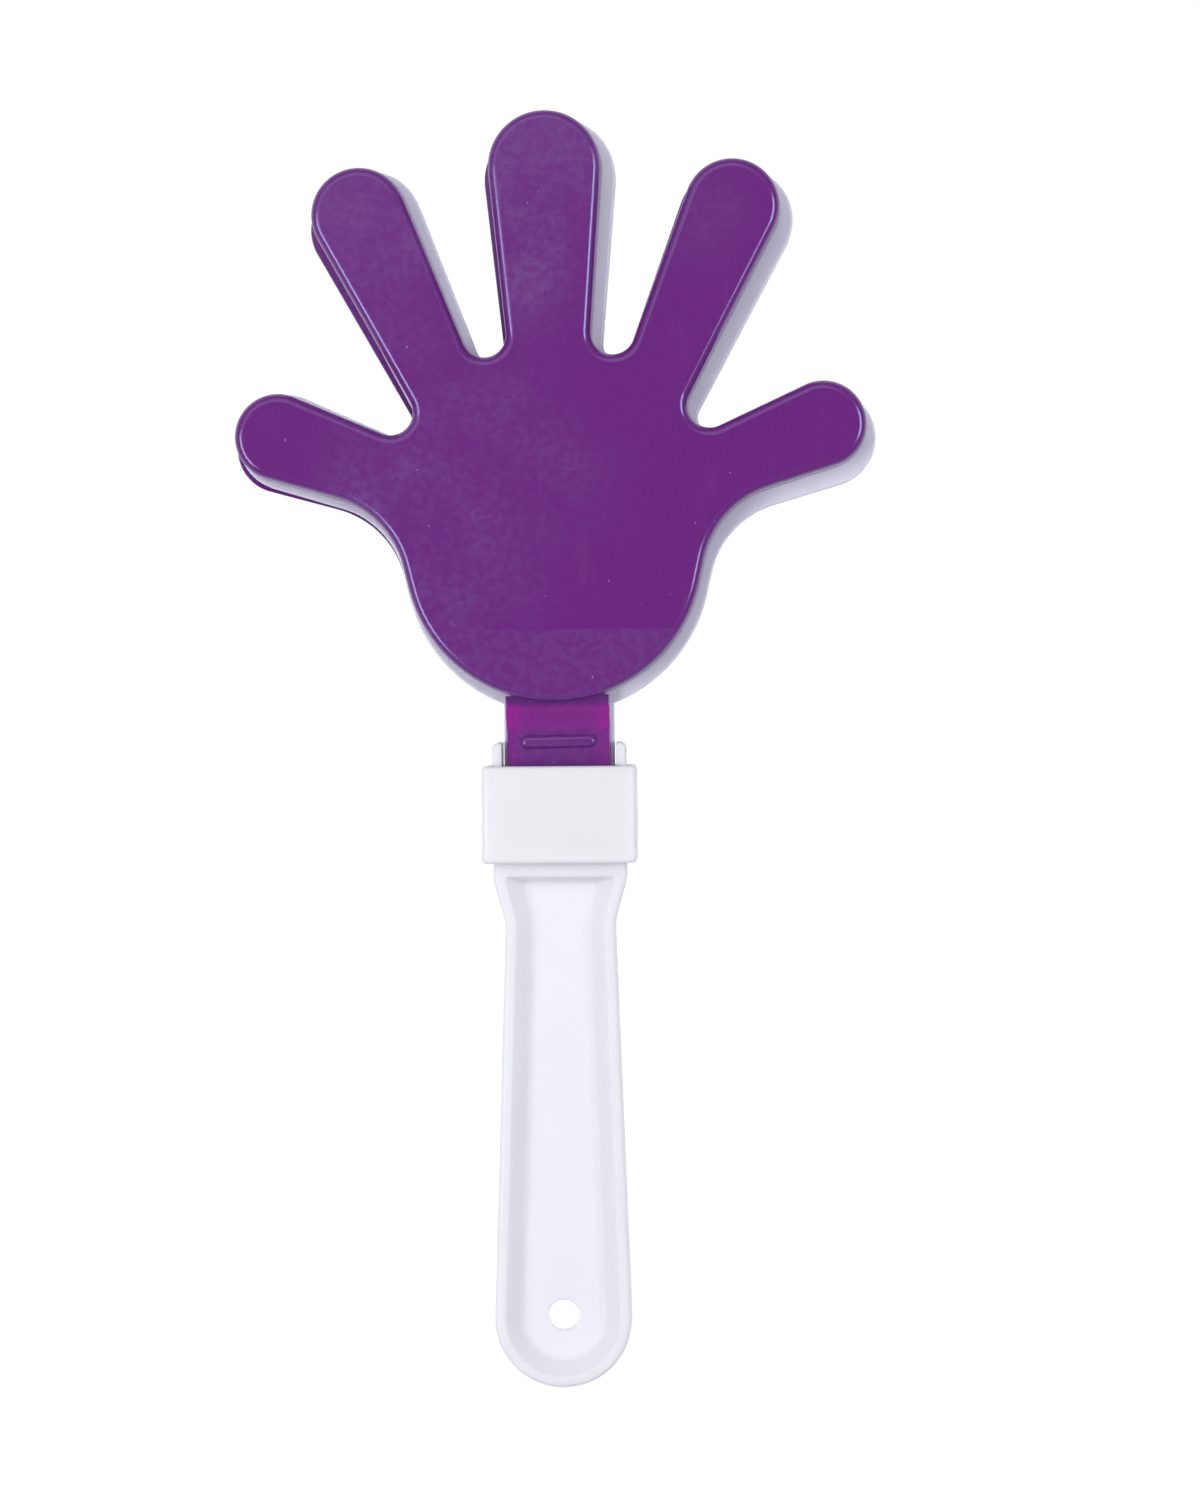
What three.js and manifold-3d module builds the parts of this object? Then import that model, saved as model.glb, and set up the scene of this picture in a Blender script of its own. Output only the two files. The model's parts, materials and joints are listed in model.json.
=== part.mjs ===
// Hand clapper: three moulded plastic hands on a white handle, all in millimetres.
// It lies flat: +Y runs up the handle to the fingertips, +Z is the front hand's side.
// While it is built, y = 0 is the collar's top edge and z = 0 is the middle hand's mid-plane.
// The front and back hands are one moulding, used twice. Each hangs on a trunnion bar that drops
// into a slot in the handle's two prongs, and the collar slides up over the prongs to shut the slots.

import * as THREE from 'three';
import { mergeVertices } from 'three/addons/utils/BufferGeometryUtils.js';
import Module from 'manifold-3d';

// Hand outline: round pegs with a tight belt round them, measured from the palm's centre.
// A finger's turn is its angle from straight up, and its reach is the distance to its tip's centre.
const PALM_RADIUS = 32.8;
const MIDDLE_TIP_RADIUS = 12.5;
const MIDDLE_REACH = 83.9;
const POINTER_TIP_RADIUS = 10.6;
const POINTER_REACH = 84.7;
const POINTER_TURN = 28.7;
const THUMB_TIP_RADIUS = 9.65;
const THUMB_REACH = 65.1;
const THUMB_TURN = 66;
const INNER_WEB_RADIUS = 4.6;
const INNER_WEB_REACH = 49.6;
const INNER_WEB_SKEW = 2.1;
const OUTER_WEB_RADIUS = 4.7;
const OUTER_WEB_REACH = 46.8;
const OUTER_WEB_SKEW = 0.8;
const THUMB_CURVE_RADIUS = 20.6;
const THUMB_UNDERSIDE = 15.6;
const WRIST_STRAIGHT = 5.1;

// Outer hands: open trays, face outwards, with a rounded face edge and spokes inside.
const SHELL_DEPTH = 8.5;
const SHELL_WALL = 1.6;
const SHELL_DRAFT = 0.3;
const FACE_ROUND = 1.8;
const CAVITY_ROUND = 1.0;
const SPOKE_THICK = 1.2;
const SHELL_SPOKE_HEIGHT = 3.2;
const HUB_RADIUS = 9;

// Middle hand: a thin web with a rim on both faces. It stands a little proud of the outer hands all
// round, and its rim is wide enough for theirs to strike it however they lean.
const MIDDLE_THICK = 7.6;
const MIDDLE_WEB = 1.6;
const MIDDLE_RIM = 4.8;
const MIDDLE_PROUD = 0.8;
const MIDDLE_EDGE = 0.4;
const MIDDLE_SPOKE_HEIGHT = 1.6;
const HAND_GAP = 0.35;

// Neck of the middle hand, which the prongs and the hinge tabs take their width from.
const NECK_WIDTH = 24.3;
const NECK_THICK = 3.6;
const NECK_EDGE = 0.4;
const SNAP_RADIUS = 0.8;
const SNAP_UP = 5.5;

// Hinge tabs of the outer hands. From the trunnion a tab runs straight, then steps outwards to
// meet the palm's wall a little above its rim. A half-round bar lies across its outer face.
const TAB_REACH = 17.45;
const TAB_THICK = 2.0;
const TAB_OUTER_FACE = 0.6;
const TAB_SIDE_PLAY = 1.2;
const TAB_NECK_GAP = 0.7;
const TAB_ABOVE_RIM = 0.95;
const TRUNNION_RADIUS = 1.5;
const TRUNNION_END_GAP = 0.75;
const STEP_BELOW_PALM = 1.45;
const STEP_LENGTH = 4.0;
const BAR_LENGTH = 16.5;
const BAR_WIDTH = 2.9;
const BAR_HEIGHT = 1.1;
const BAR_FLAT = 0.7;
const BAR_BELOW_STEP = 3.15;

// Where each hand sits. The outer hands rattle up and down in their slots, so both lean a little.
const FRONT_TRUNNION_Y = -3.5;
const BACK_SLIP = 1.4;
const MIDDLE_DROP = 1.75;
const FRONT_LEAN = 0.9;
const BACK_LEAN = 1.4;

// Collar: a sleeve over the head, with a flared mouth that lets the tabs swing.
const COLLAR_LENGTH = 21.3;
const COLLAR_SIDE_WALL = 1.7;
const COLLAR_FACE_WALL = 2.2;
const COLLAR_PASS = 0.25;
const COLLAR_CORNER = 1.4;
const COLLAR_EDGE = 0.9;
const BORE_CORNER = 0.5;
const MOUTH_FLARE = 0.6;
const MOUTH_DEPTH = 1.6;
const RIDGE_WIDTH = 14;
const RIDGE_LENGTH = 2.0;
const RIDGE_HEIGHT = 0.6;
const RIDGE_UP = 4.3;

// Handle head: a block with two prongs, inside the collar.
const PRONG_ABOVE_COLLAR = 5.2;
const PRONG_THICK = 2.05;
const PRONG_ROUND = 1.5;
const HEAD_FACE_COVER = 1.3;
const HEAD_EDGE = 0.6;
const HEAD_INSIDE_COLLAR = 1.1;
const BLOCK_BELOW_SLOT = 1.05;
const TONGUE_INSIDE_COLLAR = 0.8;
const SIDE_CLEARANCE = 0.45;
const FACE_CLEARANCE = 0.3;
const SLOT_CLEARANCE = 0.35;
const SLOT_SPARE = 0.3;

// Grip below the collar.
const GRIP_LENGTH = 115.4;
const GRIP_HALF_THICK = 5.8;
const GRIP_EDGE = 1.0;
const CORNER_SPARE = 0.2;
const SHOULDER_BELOW_COLLAR = 2.4;
const SHOULDER_RADIUS = 10;
const WAIST_BELOW_SHOULDER = 12.3;
const WAIST_HALF = 12.05;
const WAIST_RADIUS = 12;
const END_RADIUS = 15.0;
const RECESS_BELOW_COLLAR = 3.0;
const RECESS_RIM = 2.3;
const RECESS_SLOPE = 3.4;
const RECESS_TOP_SLOPE = 1.2;
const RECESS_DEPTH = 4.3;
const RECESS_CORNER = 0.5;
const HOLE_RADIUS = 3.4;
const HOLE_UP = 0.4;

// Fineness of the curves: how far a flat may cut inside a round, in mm and as a share of a small
// round's radius. The plain pins and holes have a set number of flats.
const CHORD_ERROR = 0.1;
const CHORD_SHARE = 0.3;
const ROUND_STEPS = 3;
const PIN_SIDES = 20;
const SNAP_SIDES = 24;
const RING_SIDES = 24;
const HOLE_SIDES = 32;
const CUT_PAST = 2;

// Places and sizes that follow from the ones above.
const prongInner = NECK_WIDTH / 2 + SIDE_CLEARANCE;
const headHalf = prongInner + PRONG_THICK;
const trunnionDepth = NECK_THICK / 2 + TAB_NECK_GAP + TAB_THICK - TAB_OUTER_FACE;
const headHalfThick = trunnionDepth + TRUNNION_RADIUS + HEAD_FACE_COVER;
const trunnionRoom = TRUNNION_RADIUS + SLOT_CLEARANCE;
const slotTop = FRONT_TRUNNION_Y + trunnionRoom + SLOT_SPARE;
const slotBottom = FRONT_TRUNNION_Y - BACK_SLIP - trunnionRoom - SLOT_SPARE;
const blockTop = slotBottom - BLOCK_BELOW_SLOT;
const tongueBottom = TONGUE_INSIDE_COLLAR - COLLAR_LENGTH;
const headBottom = HEAD_INSIDE_COLLAR - COLLAR_LENGTH;
const shoulderY = -COLLAR_LENGTH - SHOULDER_BELOW_COLLAR;
const waistY = shoulderY - WAIST_BELOW_SHOULDER;
const recessTop = -COLLAR_LENGTH - RECESS_BELOW_COLLAR;
const endY = END_RADIUS - COLLAR_LENGTH - GRIP_LENGTH;
const trunnionToPalm = TAB_REACH + PALM_RADIUS;
const middlePalmY = FRONT_TRUNNION_Y + trunnionToPalm - MIDDLE_DROP;

const degrees = THREE.MathUtils.degToRad;

const wasm = await Module();
wasm.setup();

// A closed geometry becomes a solid that can be joined and cut.
function toSolid(geometry) {
  const bare = new THREE.BufferGeometry();
  bare.setAttribute('position', geometry.getAttribute('position').clone());
  if (geometry.index) bare.setIndex(geometry.index.clone());
  const merged = mergeVertices(bare, 1e-5);
  const index = merged.index.array;
  const triangles = [];
  for (let i = 0; i < index.length; i += 3) {
    const [a, b, c] = [index[i], index[i + 1], index[i + 2]];
    if (a !== b && b !== c && c !== a) triangles.push(a, b, c);
  }
  return new wasm.Manifold(new wasm.Mesh({
    numProp: 3,
    vertProperties: new Float32Array(merged.getAttribute('position').array),
    triVerts: new Uint32Array(triangles),
  }));
}

function toGeometry(solid) {
  const mesh = solid.getMesh();
  const geometry = new THREE.BufferGeometry();
  geometry.setAttribute('position', new THREE.BufferAttribute(mesh.vertProperties, 3));
  geometry.setIndex(new THREE.BufferAttribute(mesh.triVerts, 1));
  geometry.computeVertexNormals();
  return geometry;
}

function join(solids) {
  return solids.reduce((whole, solid) => whole.add(solid));
}

function box(width, length, height, x, y, z) {
  return toSolid(new THREE.BoxGeometry(width, length, height).translate(x, y, z));
}

// A rod along Z.
function rod(radius, length, x, y, z, sides) {
  const geometry = new THREE.CylinderGeometry(radius, radius, length, sides).rotateX(Math.PI / 2);
  return toSolid(geometry.translate(x, y, z));
}

// A prism along X, as wide as given, with its section drawn in Y and Z.
function strut(section, width) {
  const prism = new THREE.ExtrudeGeometry(section, { depth: width, bevelEnabled: false });
  return toSolid(prism.translate(0, 0, -width / 2).rotateX(Math.PI / 2).rotateZ(Math.PI / 2));
}

// A belt pulled tight round pegs runs anticlockwise. A peg's turn is 1 where the belt wraps it and
// -1 where the peg pushes the belt in from outside. An inset moves the whole outline inwards.
function wraps(pegs, inset) {
  const bends = pegs.map((peg) => peg.turn * peg.r - inset);
  const headings = pegs.map((peg, i) => {
    const next = (i + 1) % pegs.length;
    const [across, up] = [pegs[next].x - peg.x, pegs[next].y - peg.y];
    return Math.atan2(up, across) - Math.asin((bends[next] - bends[i]) / Math.hypot(across, up));
  });
  return pegs.map((peg, i) => {
    const arriving = headings.at(i - 1);
    let sweep = (headings[i] - arriving) % (2 * Math.PI);
    if (peg.turn > 0 && sweep < 0) sweep += 2 * Math.PI;
    if (peg.turn < 0 && sweep > 0) sweep -= 2 * Math.PI;
    return { x: peg.x, y: peg.y, bend: bends[i], arriving, sweep };
  });
}

// How many flats each peg's arc needs to stay within the chord error.
function arcFlats(pegs) {
  return wraps(pegs, 0).map((wrap, i) => {
    const flat = 2 * Math.acos(1 - Math.min(CHORD_ERROR / pegs[i].r, CHORD_SHARE));
    return Math.max(1, Math.ceil(Math.abs(wrap.sweep) / flat));
  });
}

function belt(pegs, inset, flats) {
  return wraps(pegs, inset).flatMap(({ x, y, bend, arriving, sweep }, i) => {
    const steps = Array.from({ length: flats[i] + 1 }, (_, step) => step);
    return steps.map((step) => {
      const heading = arriving + (sweep * step) / flats[i];
      return new THREE.Vector2(x + Math.sin(heading) * bend, y - Math.cos(heading) * bend);
    });
  });
}

// The right-hand pegs of a symmetric outline, followed by the same pegs on the left.
function mirrored(pegs) {
  const left = pegs.filter((peg) => peg.x > 0).map((peg) => ({ ...peg, x: -peg.x }));
  return [...pegs, ...left.reverse()];
}

// A solid lofted through copies of one outline, each with its own height and inset.
function stack(pegs, rings) {
  const flats = arcFlats(pegs);
  const outlines = rings.map((ring) => belt(ring.pegs ?? pegs, ring.inset, flats));
  const count = outlines[0].length;
  const positions = outlines.flatMap((outline, k) => outline.flatMap((p) => [p.x, p.y, rings[k].z]));
  const faces = [];
  for (let k = 0; k + 1 < rings.length; k++) {
    for (let i = 0; i < count; i++) {
      const next = (i + 1) % count;
      const [a, b] = [k * count + i, k * count + next];
      const [c, d] = [a + count, b + count];
      faces.push(a, b, d, a, d, c);
    }
  }
  const last = (rings.length - 1) * count;
  for (const [a, b, c] of THREE.ShapeUtils.triangulateShape(outlines[0], [])) faces.push(a, c, b);
  for (const [a, b, c] of THREE.ShapeUtils.triangulateShape(outlines.at(-1), [])) {
    faces.push(last + a, last + b, last + c);
  }
  const geometry = new THREE.BufferGeometry();
  geometry.setAttribute('position', new THREE.Float32BufferAttribute(positions, 3));
  geometry.setIndex(faces);
  return toSolid(geometry);
}

// Rings from a square foot up a drafted wall to a rounded top edge.
function roundTop(foot, top, draft, round, steps = ROUND_STEPS) {
  const rings = [{ z: foot, inset: 0 }];
  for (let step = 0; step <= steps; step++) {
    const angle = (Math.PI / 2) * (step / steps);
    rings.push({
      z: top - round * (1 - Math.sin(angle)),
      inset: draft + round * (1 - Math.cos(angle)),
    });
  }
  return rings;
}

// The same rings with every outline moved further in.
function movedIn(rings, distance) {
  return rings.map((ring) => ({ ...ring, inset: ring.inset + distance }));
}

// Rings of a plate that is rounded alike on both faces.
function roundBoth(halfThick, round, steps) {
  const upper = roundTop(0, halfThick, 0, round, steps).slice(1);
  const lower = upper.map((ring) => ({ z: -ring.z, inset: ring.inset })).reverse();
  return [...lower, ...upper];
}

// A peg at a reach and turn from the palm's centre, clockwise from straight up.
function fanned(reach, turn, r, side) {
  return { x: reach * Math.sin(degrees(turn)), y: reach * Math.cos(degrees(turn)), r, turn: side };
}

// The curve under the thumb touches the palm and the thumb's underside with a straight
// stretch at either end, which fixes how far out and how far round its peg sits.
function thumbCurve() {
  const out = Math.hypot(PALM_RADIUS + THUMB_CURVE_RADIUS, WRIST_STRAIGHT);
  const across = Math.hypot(THUMB_TIP_RADIUS + THUMB_CURVE_RADIUS, THUMB_UNDERSIDE);
  const cosine = (THUMB_REACH ** 2 + out ** 2 - across ** 2) / (2 * THUMB_REACH * out);
  const past = THREE.MathUtils.radToDeg(Math.acos(cosine));
  return fanned(out, THUMB_TURN + past, THUMB_CURVE_RADIUS, -1);
}

function handPegs() {
  const innerWebTurn = POINTER_TURN / 2 + INNER_WEB_SKEW;
  const outerWebTurn = (POINTER_TURN + THUMB_TURN) / 2 + OUTER_WEB_SKEW;
  const right = [
    thumbCurve(),
    fanned(THUMB_REACH, THUMB_TURN, THUMB_TIP_RADIUS, 1),
    fanned(OUTER_WEB_REACH, outerWebTurn, OUTER_WEB_RADIUS, -1),
    fanned(POINTER_REACH, POINTER_TURN, POINTER_TIP_RADIUS, 1),
    fanned(INNER_WEB_REACH, innerWebTurn, INNER_WEB_RADIUS, -1),
  ];
  const palm = { x: 0, y: 0, r: PALM_RADIUS, turn: 1 };
  const middle = { x: 0, y: MIDDLE_REACH, r: MIDDLE_TIP_RADIUS, turn: 1 };
  return mirrored([palm, ...right, middle]);
}

// One stiffening spoke up each finger from a ring in the palm, between two heights.
function spokes(low, high) {
  const height = high - low;
  const middle = (low + high) / 2;
  const fingers = [
    [MIDDLE_REACH, 0],
    [POINTER_REACH, POINTER_TURN],
    [POINTER_REACH, -POINTER_TURN],
    [THUMB_REACH, THUMB_TURN],
    [THUMB_REACH, -THUMB_TURN],
  ];
  const bars = fingers.map(([reach, turn]) => {
    const length = reach - HUB_RADIUS;
    const bar = new THREE.BoxGeometry(SPOKE_THICK, length, height);
    return toSolid(bar.translate(0, HUB_RADIUS + length / 2, middle).rotateZ(-degrees(turn)));
  });
  const hub = [
    [HUB_RADIUS - SPOKE_THICK / 2, low],
    [HUB_RADIUS + SPOKE_THICK / 2, low],
    [HUB_RADIUS + SPOKE_THICK / 2, high],
    [HUB_RADIUS - SPOKE_THICK / 2, high],
    [HUB_RADIUS - SPOKE_THICK / 2, low],
  ].map(([r, z]) => new THREE.Vector2(r, z));
  const ring = new THREE.LatheGeometry(hub, RING_SIDES).rotateX(Math.PI / 2);
  return join([...bars, toSolid(ring)]);
}

// Hinge tab, from the trunnion's centre up to the palm's wall, seen along X as a bent strip.
// rim is the height of the palm's rim over the trunnion's centre.
function tab(rim) {
  const inner = TAB_OUTER_FACE - TAB_THICK;
  const rise = rim + TAB_ABOVE_RIM - inner;
  const stepEnd = TAB_REACH - STEP_BELOW_PALM;
  const stepStart = stepEnd - STEP_LENGTH;
  const root = TAB_REACH + SHELL_WALL;
  const strip = new THREE.Shape([
    new THREE.Vector2(0, inner),
    new THREE.Vector2(stepStart, inner),
    new THREE.Vector2(stepEnd, inner + rise),
    new THREE.Vector2(root, inner + rise),
    new THREE.Vector2(root, TAB_OUTER_FACE + rise),
    new THREE.Vector2(stepEnd, TAB_OUTER_FACE + rise),
    new THREE.Vector2(stepStart, TAB_OUTER_FACE),
    new THREE.Vector2(0, TAB_OUTER_FACE),
  ]);
  const trunnion = new THREE.CylinderGeometry(
    TRUNNION_RADIUS, TRUNNION_RADIUS, 2 * (headHalf - TRUNNION_END_GAP), PIN_SIDES,
  );
  trunnion.rotateZ(Math.PI / 2);
  const end = {
    x: (BAR_LENGTH - BAR_WIDTH) / 2,
    y: stepStart - BAR_BELOW_STEP,
    r: BAR_WIDTH / 2,
    turn: 1,
  };
  const barRound = (BAR_WIDTH - BAR_FLAT) / 2;
  const bar = stack(
    [end, { ...end, x: -end.x }],
    roundTop(TAB_OUTER_FACE - TAB_THICK / 2, TAB_OUTER_FACE + BAR_HEIGHT, 0, barRound),
  );
  return join([strut(strip, 2 * (prongInner - TAB_SIDE_PLAY)), toSolid(trunnion), bar]);
}

// Outer hand with its trunnion's centre at the origin and its face towards +Z.
function outerHand() {
  const rim = MIDDLE_THICK / 2 + HAND_GAP - trunnionDepth;
  const face = rim + SHELL_DEPTH;
  const floor = face - SHELL_WALL;
  const pegs = handPegs();
  const body = stack(pegs, roundTop(rim, face, SHELL_DRAFT, FACE_ROUND));
  const hollow = roundTop(rim - CUT_PAST, floor, SHELL_DRAFT, CAVITY_ROUND, 2);
  const cavity = stack(pegs, movedIn(hollow, SHELL_WALL));
  const stiff = spokes(floor - SHELL_SPOKE_HEIGHT, face - SHELL_WALL / 2).intersect(body);
  const tray = body.subtract(cavity).add(stiff).translate([0, trunnionToPalm, 0]);
  return tray.add(tab(rim));
}

// Middle hand with its palm's centre at the origin, and its neck and tongue below.
function middleHand() {
  const half = MIDDLE_THICK / 2;
  const web = MIDDLE_WEB / 2;
  const pegs = handPegs();
  const body = stack(pegs, movedIn(roundBoth(half, MIDDLE_EDGE, 1), -MIDDLE_PROUD));
  const pocket = stack(pegs, movedIn([
    { z: web, inset: SHELL_DRAFT },
    { z: half + CUT_PAST, inset: 0 },
  ], MIDDLE_RIM - MIDDLE_PROUD));
  const stiff = spokes(-web - MIDDLE_SPOKE_HEIGHT, web + MIDDLE_SPOKE_HEIGHT).intersect(body);
  const plate = body.subtract(pocket).subtract(pocket.mirror([0, 0, 1])).add(stiff);
  const bottom = tongueBottom - middlePalmY;
  const top = MIDDLE_RIM - PALM_RADIUS;
  const corner = { x: NECK_WIDTH / 2 - NECK_EDGE, y: bottom + NECK_EDGE, r: NECK_EDGE, turn: 1 };
  const neck = stack(
    mirrored([corner, { ...corner, y: top }]),
    roundBoth(NECK_THICK / 2, NECK_EDGE / 2, 1),
  );
  const notchRadius = SNAP_RADIUS + SLOT_CLEARANCE;
  const notches = [-1, 1].map((side) => rod(
    notchRadius, NECK_THICK + CUT_PAST, side * prongInner, bottom + SNAP_UP, 0, SNAP_SIDES,
  ));
  return plate.add(neck).subtract(join(notches));
}

// Slot across both prongs, open to the front face, long enough for the hands to rattle in.
function trunnionSlots() {
  const floor = trunnionDepth - trunnionRoom;
  const height = headHalfThick + CUT_PAST - floor;
  return box(
    2 * (headHalf + CUT_PAST), slotTop - slotBottom, height,
    0, (slotTop + slotBottom) / 2, floor + height / 2,
  );
}

// Low wedge across the head's face that snaps into a groove in the collar.
function ridge(spare) {
  const halfLong = RIDGE_LENGTH / 2 + spare;
  const foot = headHalfThick - HEAD_EDGE;
  const wedge = new THREE.Shape([
    new THREE.Vector2(-halfLong, foot),
    new THREE.Vector2(halfLong, foot),
    new THREE.Vector2(halfLong, headHalfThick + spare),
    new THREE.Vector2(0, headHalfThick + RIDGE_HEIGHT + spare),
    new THREE.Vector2(-halfLong, headHalfThick + spare),
  ]);
  return strut(wedge, RIDGE_WIDTH + 2 * spare).translate([0, RIDGE_UP - COLLAR_LENGTH, 0]);
}

function head() {
  const prongCorner = {
    x: headHalf - PRONG_ROUND,
    y: PRONG_ABOVE_COLLAR - PRONG_ROUND,
    r: PRONG_ROUND,
    turn: 1,
  };
  const foot = HEAD_EDGE + CORNER_SPARE;
  const footCorner = { x: headHalf - foot, y: headBottom + foot, r: foot, turn: 1 };
  const block = stack(mirrored([footCorner, prongCorner]), roundBoth(headHalfThick, HEAD_EDGE, 2));
  const opening = PRONG_ABOVE_COLLAR + CUT_PAST - blockTop;
  const fork = box(
    2 * prongInner, opening, 2 * (headHalfThick + CUT_PAST), 0, blockTop + opening / 2, 0,
  );
  const slots = trunnionSlots();
  return block
    .subtract(fork)
    .subtract(slots)
    .subtract(slots.mirror([0, 0, 1]))
    .add(ridge(0))
    .add(ridge(0).mirror([0, 0, 1]));
}

function gripPegs() {
  const corner = GRIP_EDGE + CORNER_SPARE;
  const end = { x: 0, y: endY, r: END_RADIUS, turn: 1 };
  const waist = { x: WAIST_HALF + WAIST_RADIUS, y: waistY, r: WAIST_RADIUS, turn: -1 };
  const shoulder = { x: headHalf - SHOULDER_RADIUS, y: shoulderY, r: SHOULDER_RADIUS, turn: 1 };
  const top = { x: headHalf - corner, y: (blockTop + headBottom) / 2, r: corner, turn: 1 };
  return mirrored([end, waist, shoulder, top]);
}

// Outline of the recess in the grip's face, a given distance inside the grip's own outline.
function recessPegs(inside, topY) {
  const shoulderHalf = headHalf - inside;
  const corner = { x: shoulderHalf - RECESS_CORNER, y: topY - RECESS_CORNER, r: RECESS_CORNER, turn: 1 };
  const waist = {
    x: WAIST_HALF + WAIST_RADIUS,
    y: waistY,
    r: WAIST_RADIUS + inside,
    turn: -1,
  };
  const end = { x: 0, y: endY, r: END_RADIUS - inside, turn: 1 };
  return mirrored([end, waist, corner]);
}

function grip() {
  const bar = stack(gripPegs(), roundBoth(GRIP_HALF_THICK, GRIP_EDGE, ROUND_STEPS));
  const floor = GRIP_HALF_THICK - RECESS_DEPTH;
  const deep = recessPegs(RECESS_RIM + RECESS_SLOPE, recessTop - RECESS_TOP_SLOPE);
  const wide = recessPegs(RECESS_RIM, recessTop);
  const recess = stack(wide, [
    { z: floor, inset: 0, pegs: deep },
    { z: GRIP_HALF_THICK, inset: 0 },
    { z: GRIP_HALF_THICK + CUT_PAST, inset: 0 },
  ]);
  const holeLength = 2 * (GRIP_HALF_THICK + CUT_PAST);
  const hole = rod(HOLE_RADIUS, holeLength, 0, endY + HOLE_UP, 0, HOLE_SIDES);
  return bar.subtract(recess).subtract(recess.mirror([0, 0, 1])).subtract(hole);
}

// The middle hand's tongue stands in this pocket, held by a half-round snap on either wall.
function tonguePocket() {
  const floor = tongueBottom - SLOT_CLEARANCE;
  const length = blockTop + CUT_PAST - floor;
  const height = NECK_THICK + 2 * FACE_CLEARANCE;
  const pocket = box(2 * prongInner, length, height, 0, floor + length / 2, 0);
  const snaps = [-1, 1].map((side) => (
    rod(SNAP_RADIUS, height, side * prongInner, tongueBottom + SNAP_UP, 0, SNAP_SIDES)
  ));
  return pocket.subtract(join(snaps));
}

function handle() {
  return head().add(grip()).subtract(tonguePocket());
}

// Sleeve of rounded oblong section, drawn in X and Z and run along Y.
function sleeve(halfWide, halfThick, corner, rings) {
  const peg = { x: halfWide - corner, y: halfThick - corner, r: corner, turn: 1 };
  return stack(mirrored([{ ...peg, y: -peg.y }, peg]), rings).rotate([90, 0, 0]);
}

// The collar's bore passes both the head and the grip, so that it can slide the length of either.
function collar() {
  const boreHalfWide = Math.max(headHalf, END_RADIUS) + COLLAR_PASS;
  const boreHalfThick = Math.max(headHalfThick, GRIP_HALF_THICK) + FACE_CLEARANCE;
  const bottom = COLLAR_LENGTH;
  const rounded = roundBoth(bottom / 2, COLLAR_EDGE, ROUND_STEPS);
  const outside = sleeve(
    boreHalfWide + COLLAR_SIDE_WALL, boreHalfThick + COLLAR_FACE_WALL, COLLAR_CORNER,
    rounded.map((ring) => ({ ...ring, z: ring.z + bottom / 2 })),
  );
  const bore = sleeve(
    boreHalfWide, boreHalfThick, BORE_CORNER,
    [
      { z: -CUT_PAST, inset: -MOUTH_FLARE },
      { z: 0, inset: -MOUTH_FLARE },
      { z: MOUTH_DEPTH, inset: 0 },
      { z: bottom + CUT_PAST, inset: 0 },
    ],
  );
  const groove = ridge(SLOT_CLEARANCE);
  return outside.subtract(bore).subtract(groove).subtract(groove.mirror([0, 0, 1]));
}

const purple = new THREE.MeshStandardMaterial({ color: 0x6a2c80, roughness: 0.3, metalness: 0 });
const white = new THREE.MeshStandardMaterial({ color: 0xf0f0f6, roughness: 0.4, metalness: 0 });

function piece(name, solid, material) {
  const mesh = new THREE.Mesh(toGeometry(solid), material);
  mesh.name = name;
  return mesh;
}

const outer = outerHand();
const frontHand = piece('front_hand', outer, purple);
frontHand.position.set(0, FRONT_TRUNNION_Y, trunnionDepth);
frontHand.rotation.z = degrees(FRONT_LEAN);

const backHand = piece('back_hand', outer, purple);
backHand.position.set(0, FRONT_TRUNNION_Y - BACK_SLIP, -trunnionDepth);
backHand.rotation.order = 'ZYX';
backHand.rotation.set(0, Math.PI, degrees(BACK_LEAN));

const middle = piece('middle_hand', middleHand(), white);
middle.position.set(0, middlePalmY, 0);

const clapper = new THREE.Group();
clapper.add(
  piece('handle', handle(), white),
  piece('collar', collar(), white),
  middle,
  frontHand,
  backHand,
);

// The origin is the middle of the underside, so the part lies on its back hand.
clapper.updateMatrixWorld(true);
const bounds = new THREE.Box3().setFromObject(clapper, true);
const centre = bounds.getCenter(new THREE.Vector3());
clapper.position.set(-centre.x, -centre.y, -bounds.min.z);

export default clapper;
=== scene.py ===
"""Hand clapper: two glossy purple hand shells hinged either side of a white one, on a white handle.

The part lies on its back hand. Lengths are in metres, +Y runs up the handle to the fingertips and
+Z comes out of the front hand. Each piece is first modelled about a centre of its own, where y = 0
is the collar's top edge and z = 0 the middle hand's mid-plane, and is then moved into place.
"""

import json
import math

import bmesh
import bpy
from mathutils import Matrix, Vector


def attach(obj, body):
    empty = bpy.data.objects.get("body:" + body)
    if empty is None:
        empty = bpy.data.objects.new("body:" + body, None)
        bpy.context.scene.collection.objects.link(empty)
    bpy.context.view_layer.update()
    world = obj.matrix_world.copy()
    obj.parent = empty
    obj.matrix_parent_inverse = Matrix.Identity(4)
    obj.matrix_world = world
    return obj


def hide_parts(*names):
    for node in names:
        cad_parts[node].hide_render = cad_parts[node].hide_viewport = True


MM = 0.001

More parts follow.
